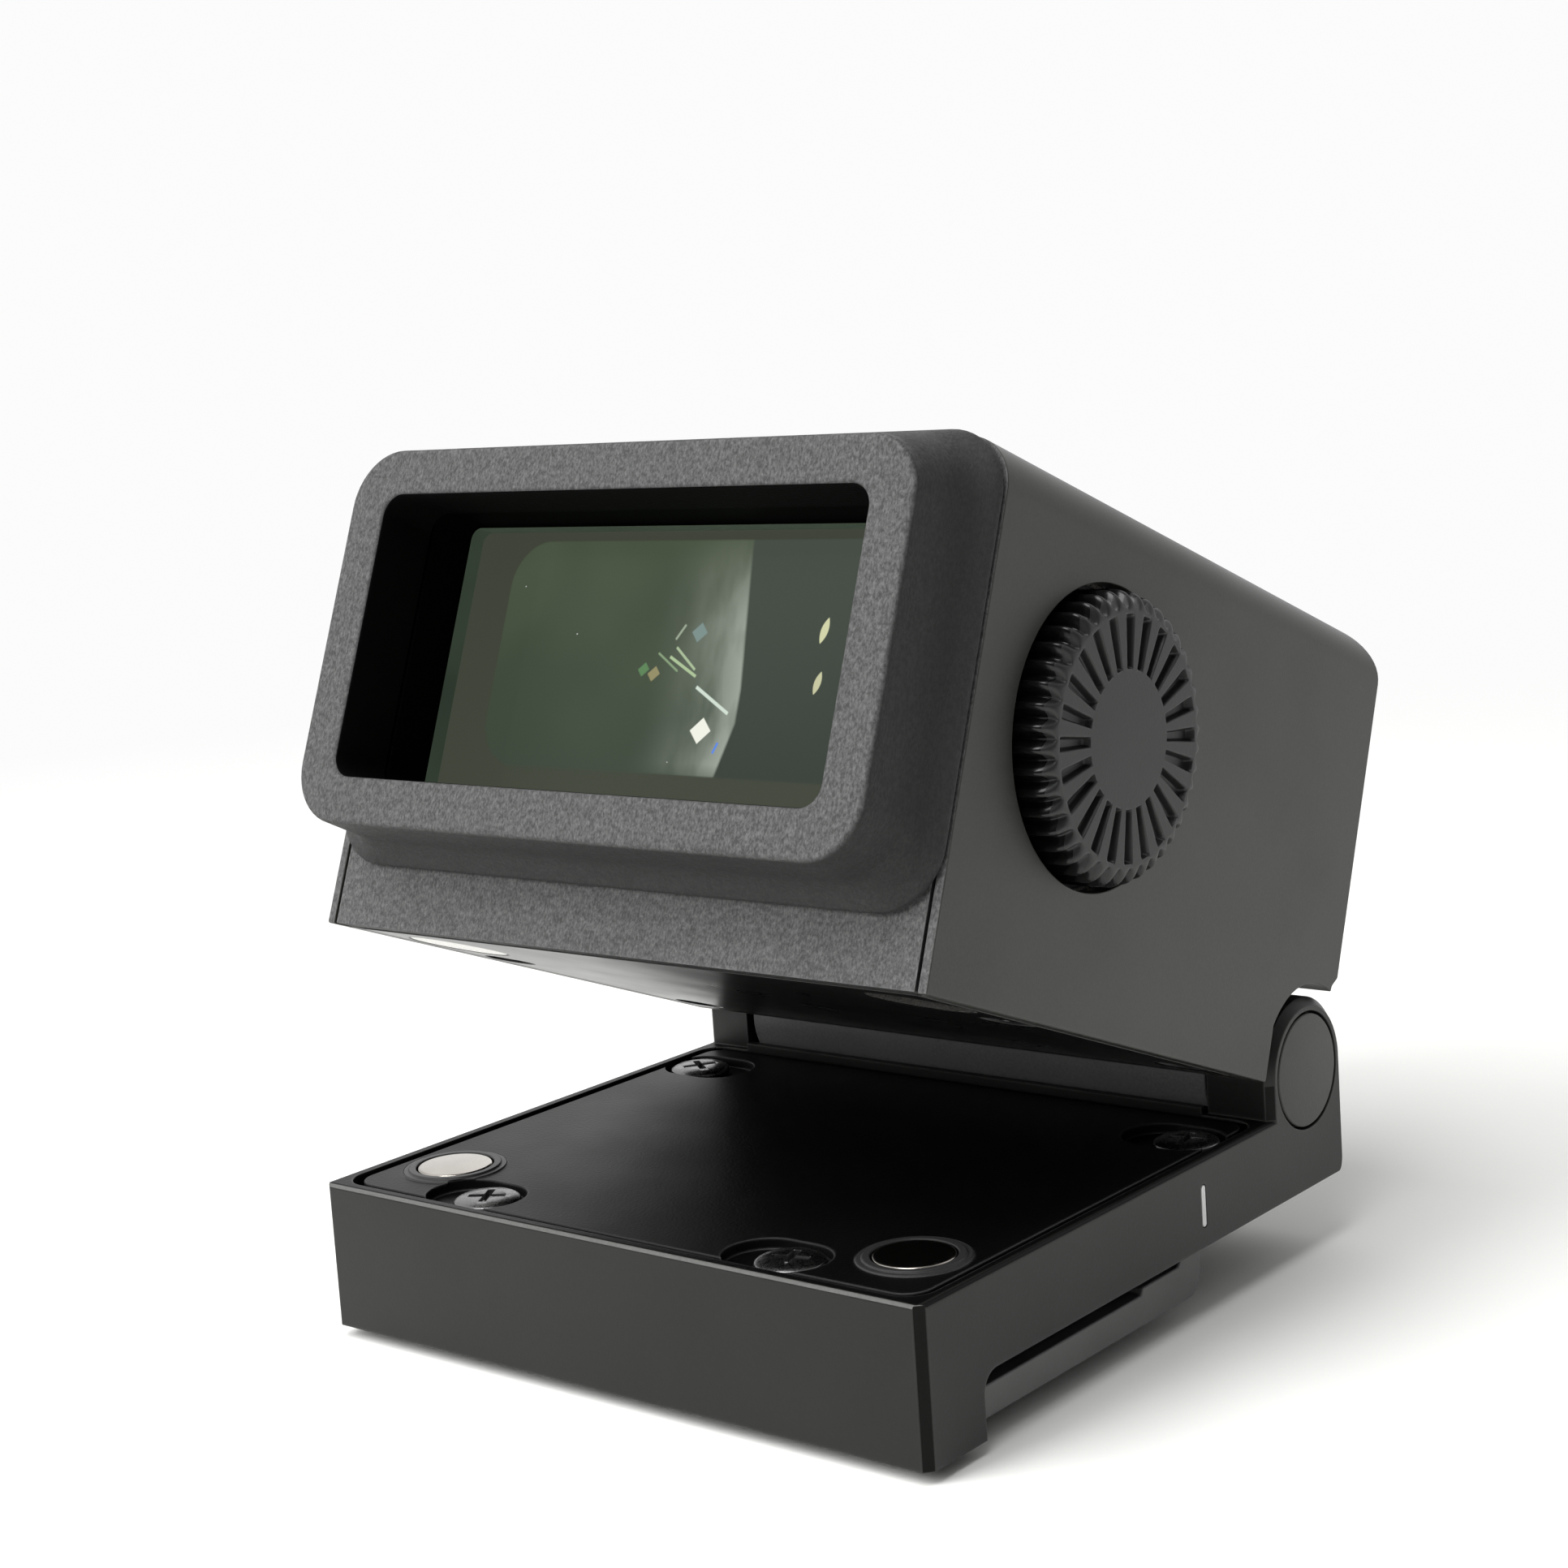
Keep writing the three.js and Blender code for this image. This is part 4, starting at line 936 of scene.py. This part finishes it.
DIAL_RADIUS = 6.85
DIAL_FACE, DIAL_HUB, SLOT_END = 5.9, 3.22, 5.75  # radii of the flat face, its plain middle and the slots
TEETH, SLOTS = 42, 24
TOOTH_RELIEF, SLOT_RELIEF = 0.50, 0.42


def ease(value, low, high):
    t = min(1.0, max(0.0, (value - low) / (high - low)))
    return t * t * (3 - 2 * t)


def slot_depth(radius, angle):
    """How far the dial's face is cut away at a polar place."""
    pitch = 2 * math.pi / SLOTS
    off = (angle + pitch / 2) % pitch - pitch / 2
    spread = 0.85 + 0.35 * ease(radius, DIAL_HUB, SLOT_END)
    across = 1 - ease(abs(radius * math.sin(off)) / spread, 0.15, 0.31)
    along = ease(radius, DIAL_HUB, DIAL_HUB + 0.12) * (1 - ease(radius, SLOT_END - 0.15, SLOT_END))
    return SLOT_RELIEF * across * along


def tooth_depth(angle):
    """How far the rim is cut away between two teeth."""
    wave = 0.5 + 0.5 * math.cos(TEETH * angle)
    return TOOTH_RELIEF * (1 - wave ** 0.8)


def dial_rings(face, back):
    """(radius, station, slotted share, toothed share) from the middle of the face out and down the rim."""
    rings = [(0.05, face, 0, 0), (1.6, face, 0, 0), (DIAL_HUB - 0.1, face, 0, 0)]
    count = 34
    rings += [(DIAL_HUB + (DIAL_FACE - DIAL_HUB) * i / count, face, 1, 0) for i in range(count + 1)]
    round_over = DIAL_RADIUS - DIAL_FACE
    for i in range(1, 11):
        t = math.pi / 2 * i / 10
        radius, station = DIAL_FACE + round_over * math.sin(t), face - round_over * (1 - math.cos(t))
        rings.append((radius, station, 0, min(1.0, i / 4)))
    depth = face - round_over - back
    rings += [(DIAL_RADIUS, face - round_over - depth * i / 5, 0, 1) for i in range(1, 6)]
    return rings


def build_dial():
    box = Box("dioptre_dial")
    y, z = box.mid[Y], box.mid[Z]
    steps = 24 * TEETH
    flange_top = box.low[X] + 0.9
    body = bmesh.new()
    rows = []
    for radius, station, slotted, toothed in dial_rings(box.high[X], flange_top):
        row = []
        for i in range(steps):
            angle = 2 * math.pi * i / steps
            r = radius - toothed * tooth_depth(angle)
            at = station - slotted * slot_depth(radius, angle)
            row.append(body.verts.new((at, y + r * math.cos(angle), z + r * math.sin(angle))))
        rows.append(row)
    close_rings(body, rows)
    knob = mesh_object("dial_knob", body)
    smooth(knob, 60)
    piece(knob, "dial", "dial", "dioptre_dial")
    repaint(knob, "dial_rim", lambda face, middle: middle[X] < box.high[X] - 0.45)

    low, bore, edge, bevel = box.low[X], 1.25, 8.0, 0.1
    flange = [
        (bore, low), (edge - bevel, low), (edge, low + bevel),
        (edge, flange_top - bevel), (edge - bevel, flange_top), (bore, flange_top),
    ]
    ring = bmesh.new()
    rings = [[ring.verts.new((at, a, b)) for a, b in circle((y, z), r, 128)] for r, at in flange]
    close_rings(ring, rings, ends=False)
    cam = mesh_object("dial_cam_flange", ring)
    combine(cam, [prism(X, spiral(y, z), low - 1, low + 0.6)], "DIFFERENCE")
    soften(cam, 0.03, segments=2)
    piece(cam, "dial", "dial")


def spiral(y, z):
    """The cam groove's outline. Its pitch per radian is the coupling's ratio, turned into millimetres."""
    pitch = 1 / frame["record"]["behaviour"]["couplings"][0]["ratio"] / MM
    mean, sweep, width, steps = 3.8, math.radians(172), 1.25, 64

    def edge(offset):
        points = []
        for i in range(steps + 1):
            t = sweep * (2 * i / steps - 1)
            r = mean + pitch * t + offset
            points.append((y + r * math.cos(math.pi + t), z + r * math.sin(math.pi + t)))
        return points

    return edge(width / 2) + edge(-width / 2)[::-1]


# ---------------- optics looks
def window_look():
    """A coated pane: clear, with a faint green cast in what it reflects, and a few specks of dust."""
    s = Shader("window_glass")
    see = s.add("ShaderNodeBsdfTransparent", {"Color": rgba((0.92, 0.96, 0.90))})
    shine = s.add("ShaderNodeBsdfGlossy", {"Color": rgba((0.70, 1.0, 0.72)), "Roughness": 0.02})
    facing = s.add("ShaderNodeLayerWeight", {"Blend": 0.35}).outputs["Facing"]
    share = s.remap(facing, 0.0, 1.0, 0.001, 0.008)
    dust = s.math("LESS_THAN", s.cells(2.0), 0.020)
    speck = s.add("ShaderNodeBsdfDiffuse", {"Color": rgba(grey(0.35))})
    return s.finished(s.mix(dust, s.mix(share, see, shine), speck))


def pane_edge_look():
    """The pane's sides: dark, with a little painted glow of stray light given out as emission."""
    s = Shader("pane_edge_painted_glow")
    glow = (0.030, 0.042, 0.030)
    drift = s.remap(s.noise(5.0), 0.3, 0.7)
    color = s.blend(drift, [c * 0.85 for c in glow], [c * 1.15 for c in glow])
    return s.surface(grey(0.01), 0.2, Emission_Color=color, Emission_Strength=1.0)


# The inner wall's image is a painted reflection on the window's rear.
WALL_IMAGE = 3.4  # where the mirrored inner wall ends, across the window
# Painted glints, reflections of small lamps in the window: across, up, half length, half breadth, turn in degrees,
# pointed, colour
GLINTS = [
    (2.1, 16.4, 0.46, 0.40, 42, False, (0.95, 0.93, 0.88)),
    (1.0, 21.2, 0.34, 0.30, 40, False, (0.22, 0.29, 0.29)),
    (-2.2, 19.3, 0.26, 0.20, 40, False, (0.12, 0.24, 0.11)),
    (-1.5, 19.1, 0.28, 0.22, 40, False, (0.32, 0.28, 0.15)),
    (2.5, 17.9, 1.25, 0.06, -29, False, (0.70, 0.78, 0.72)),
    (0.3, 19.5, 1.00, 0.05, -27, False, (0.46, 0.58, 0.36)),
    (0.4, 19.9, 0.85, 0.04, -38, False, (0.44, 0.54, 0.36)),
    (-0.7, 19.7, 0.80, 0.03, -32, False, (0.26, 0.36, 0.22)),
    (-0.2, 21.2, 0.42, 0.04, 56, False, (0.36, 0.40, 0.32)),
    (8.6, 21.4, 0.62, 0.19, 76, True, (0.70, 0.68, 0.44)),
    (8.7, 18.9, 0.54, 0.17, 76, True, (0.62, 0.60, 0.40)),
    (3.2, 15.6, 0.26, 0.04, 66, False, (0.12, 0.26, 0.85)),
]


def pane_rear_look():
    """The window's rear, all given out as emission: a printed border round painted grey green optics, lighter
    towards the top, with a painted reflection of the inner wall, a painted bright patch and painted glints of
    small lamps.
    """
    s = Shader("window_rear_painted_light")
    local = s.add("ShaderNodeVectorMath", {0: s.place, "Scale": 1 / MM}, operation="SCALE").outputs["Vector"]
    split = s.add("ShaderNodeSeparateXYZ", {0: local})
    across = s.minus(split.outputs[X], DATUM[X])
    up = s.minus(split.outputs[Z], DATUM[Z])

    # The optics are painted lighter towards the top, with darker cloudy patches.
    height = s.remap(up, 14.0, 26.0)
    cloud = s.remap(s.noise(6.0, detail=1.0), 0.38, 0.66)
    base = s.blend(height, (0.052, 0.068, 0.050), (0.076, 0.096, 0.062))
    base = s.blend(s.times(cloud, 0.45), base, (0.047, 0.061, 0.044))
    # Right of the inner wall's image the optics are painted darker: a painted reflection of the wall.
    bulge = s.times(s.remap(up, 14.2, 16.8), s.remap(up, 25.4, 18.5))
    wall = s.minus(across, s.times(bulge, 0.75))
    far_side = s.remap(wall, WALL_IMAGE - 0.08, WALL_IMAGE + 0.08)
    base = s.blend(far_side, base, s.blend(height, (0.042, 0.051, 0.045), (0.066, 0.078, 0.066)))

    # A painted bright patch, a reflection of lamps in the optics, that fades out past the wall's image.
    ramp = s.math("POWER", s.remap(wall, -2.8, WALL_IMAGE), 2.0)
    rise = s.times(s.remap(up, 13.6, 14.8), s.remap(up, 26.4, 21.5))
    wisps = s.remap(s.noise(1.9, detail=3.0, stretch=(1.0, 1.0, 0.4)), 0.36, 0.62, 0.30, 1.0)
    glow = s.times(s.times(ramp, rise), wisps)
    glow = s.times(glow, s.minus(1.0, far_side))
    base = s.blend(glow, base, (0.36, 0.38, 0.35))

    # Painted glints: reflections of small lamps, as small squares, streaks and pointed highlights.
    for x, z, half_length, half_breadth, turn, pointed, color in GLINTS:
        c, n = math.cos(math.radians(turn)), math.sin(math.radians(turn))
        dx, dz = s.minus(across, x), s.minus(up, z)
        u = s.math("ADD", s.times(dx, c), s.times(dz, n))
        v = s.minus(s.times(dz, c), s.times(dx, n))
        along = s.remap(s.math("ABSOLUTE", u), half_length + 0.06, half_length)
        aside = s.math("ABSOLUTE", v)
        if pointed:
            taper = s.math("POWER", s.math("DIVIDE", s.math("ABSOLUTE", u), half_length), 2.0)
            aside = s.math("ADD", aside, s.times(taper, half_breadth))
        beside = s.remap(aside, half_breadth + 0.05, half_breadth)
        base = s.blend(s.times(along, beside), base, color)

    low, high, corner = APERTURE
    squares = []
    for place, start, end in ((across, low[0], high[0]), (up, low[1], high[1])):
        from_middle = s.math("ABSOLUTE", s.minus(place, (start + end) / 2))
        past = s.math("MAXIMUM", s.minus(from_middle, (end - start) / 2 - corner), 0.0)
        squares.append(s.math("POWER", past, 2.0))
    reach = s.math("SQRT", s.math("ADD", *squares))
    border = s.remap(reach, corner - 0.05, corner + 0.05)
    base = s.blend(border, base, s.blend(height, (0.058, 0.062, 0.048), (0.054, 0.058, 0.045)))
    # The colour is given out as emission, so the rear glows with its painted light.
    return s.surface(grey(0.002), 0.3, Specular_IOR_Level=0.1, Emission_Color=base, Emission_Strength=1.0)


LOOK["window"] = window_look()
LOOK["pane_rear"] = pane_rear_look()
LOOK["pane_edge_painted_glow"] = pane_edge_look()


def paint_inner_nodes():
    """CAD nodes that are shown as they are get the looks of their material slots."""
    slots = {row["node"]: row["material_slot"] for row in frame["record"]["subparts"]}
    names = {"gloss_black": "gloss", "glass": "clear"}
    for node, obj in frame["nodes"].items():
        if not obj.hide_render:
            slot = slots[node]
            obj.data.materials.clear()
            obj.data.materials.append(LOOK[names.get(slot, slot)])


# ---------------- stage
BACKDROP = 0.97
FLOOR_RADIUS = 4.0  # metres


def build_floor():
    """A pale floor that fades into the white of the backdrop with distance."""
    body = bmesh.new()
    bmesh.ops.create_circle(body, cap_ends=True, segments=96, radius=FLOOR_RADIUS)
    mesh = bpy.data.meshes.new("floor")
    body.to_mesh(mesh)
    body.free()
    floor = bpy.data.objects.new("floor", mesh)
    bpy.context.scene.collection.objects.link(floor)
    floor.location.z = CAD_BOX[0][Z] - 0.0001
    s = Shader("pale_floor")
    matt = s.add("ShaderNodeBsdfDiffuse", {"Color": rgba(grey(0.86, 0.01))})
    glow = s.add("ShaderNodeEmission", {"Color": rgba(grey(BACKDROP)), "Strength": 1.0})
    reach = s.add("ShaderNodeVectorMath", {0: s.place}, operation="LENGTH").outputs["Value"]
    share = s.remap(reach, 0.06, 0.26)
    mesh.materials.append(s.finished(s.mix(share, matt, glow)))


SIGHT = {"azimuth": 39.506, "elevation": 7.710, "roll": -3.853, "distance": 142.353}
LENS, SHIFT = 63.38, (-0.00557, -0.0438)
AIM = Vector((0, 18, 12))  # a point inside the object
SLIDE = (-1.466, 14.518)  # how far the camera stands right of and above the line to AIM


def sight_axes():
    roll = math.radians(SIGHT["roll"])
    back = toward(SIGHT["azimuth"], SIGHT["elevation"])
    right = Vector((0, 0, 1)).cross(back).normalized()
    up = back.cross(right)
    return back, math.cos(roll) * right + math.sin(roll) * up, math.cos(roll) * up - math.sin(roll) * right


def build_camera():
    back, right, up = sight_axes()
    data = bpy.data.cameras.new("camera")
    data.lens = LENS
    data.shift_x, data.shift_y = SHIFT
    data.clip_start, data.clip_end = 0.01, 50
    camera = bpy.data.objects.new("camera", data)
    place = (AIM + DATUM + back * SIGHT["distance"] + right * SLIDE[0] + up * SLIDE[1]) * MM
    turn = Matrix((right, up, back)).transposed().to_4x4()
    camera.matrix_world = Matrix.Translation(place) @ turn
    bpy.context.scene.collection.objects.link(camera)
    bpy.context.scene.camera = camera


def add_softbox(name, azimuth, elevation, power, mirrored):
    """A square area light, 0.5 m away, that looks at the middle of the object."""
    back = toward(azimuth, elevation)
    data = bpy.data.lights.new(name, "AREA")
    data.size = 0.30
    data.energy = power
    light = bpy.data.objects.new(name, data)
    light.visible_glossy = mirrored
    light.rotation_mode = "QUATERNION"
    light.rotation_quaternion = back.to_track_quat("Z", "Y")
    light.location = (CAD_BOX[0] + CAD_BOX[1]) / 2 + back * 0.50
    bpy.context.scene.collection.objects.link(light)


def toward(azimuth, elevation):
    """A unit vector that points from the object to a place seen at azimuth and elevation, in degrees."""
    a, e = math.radians(azimuth), math.radians(elevation)
    return Vector((math.sin(a) * math.cos(e), -math.cos(a) * math.cos(e), math.sin(e)))


# The room's bright parts: azimuth, elevation, cosine where it starts, cosine where it is full, strength
ROOM = [
    (-100, 15, -0.10, 0.85, 0.95),
    (175, 10, 0.30, 0.95, 0.75),
    (0, 90, 0.30, 1.00, 0.35),
]
ROOM_DARK = 0.10


def build_world():
    """White to the camera, and to the object a room with a bright left, a bright rear and a dim front."""
    world = bpy.data.worlds.new("studio")
    bpy.context.scene.world = world
    w = Nodes(world)
    sight = w.add("ShaderNodeTexCoord").outputs["Generated"]
    total = ROOM_DARK
    for azimuth, elevation, start, full, strength in ROOM:
        aim = toward(azimuth, elevation)
        facing = w.add("ShaderNodeVectorMath", {0: sight, 1: aim}, operation="DOT_PRODUCT").outputs["Value"]
        inputs = {0: facing, 1: start, 2: full, 3: 0.0, 4: strength}
        share = w.add("ShaderNodeMapRange", inputs, interpolation_type="SMOOTHSTEP").outputs[0]
        total = w.add("ShaderNodeMath", {0: total, 1: share}, operation="ADD").outputs[0]
    room = w.add("ShaderNodeBackground", {"Strength": total})
    white = w.add("ShaderNodeBackground", {"Color": rgba(grey(BACKDROP))})
    seen = w.add("ShaderNodeLightPath").outputs["Is Camera Ray"]
    w.add("ShaderNodeOutputWorld", {"Surface": w.mix(seen, room, white).outputs[0]})


def build_stage():
    build_floor()
    build_world()
    add_softbox("key", 0, 68, 1.6, mirrored=True)
    add_softbox("front", -25, 32, 2.6, mirrored=False)
    build_camera()
    bpy.context.scene.view_settings.view_transform = "Standard"


# ---------------- the object
build_tray()
build_cover_plate()
build_fasteners()
build_discs()
build_mark()
build_foot()
build_guard()
build_housing()
build_front_panel()
build_bottom_plate()
build_barrel()
build_eyecup()
build_bezel()
build_window()
build_lenses()
build_dial()
paint_inner_nodes()
build_stage()

bpy.context.view_layer.update()
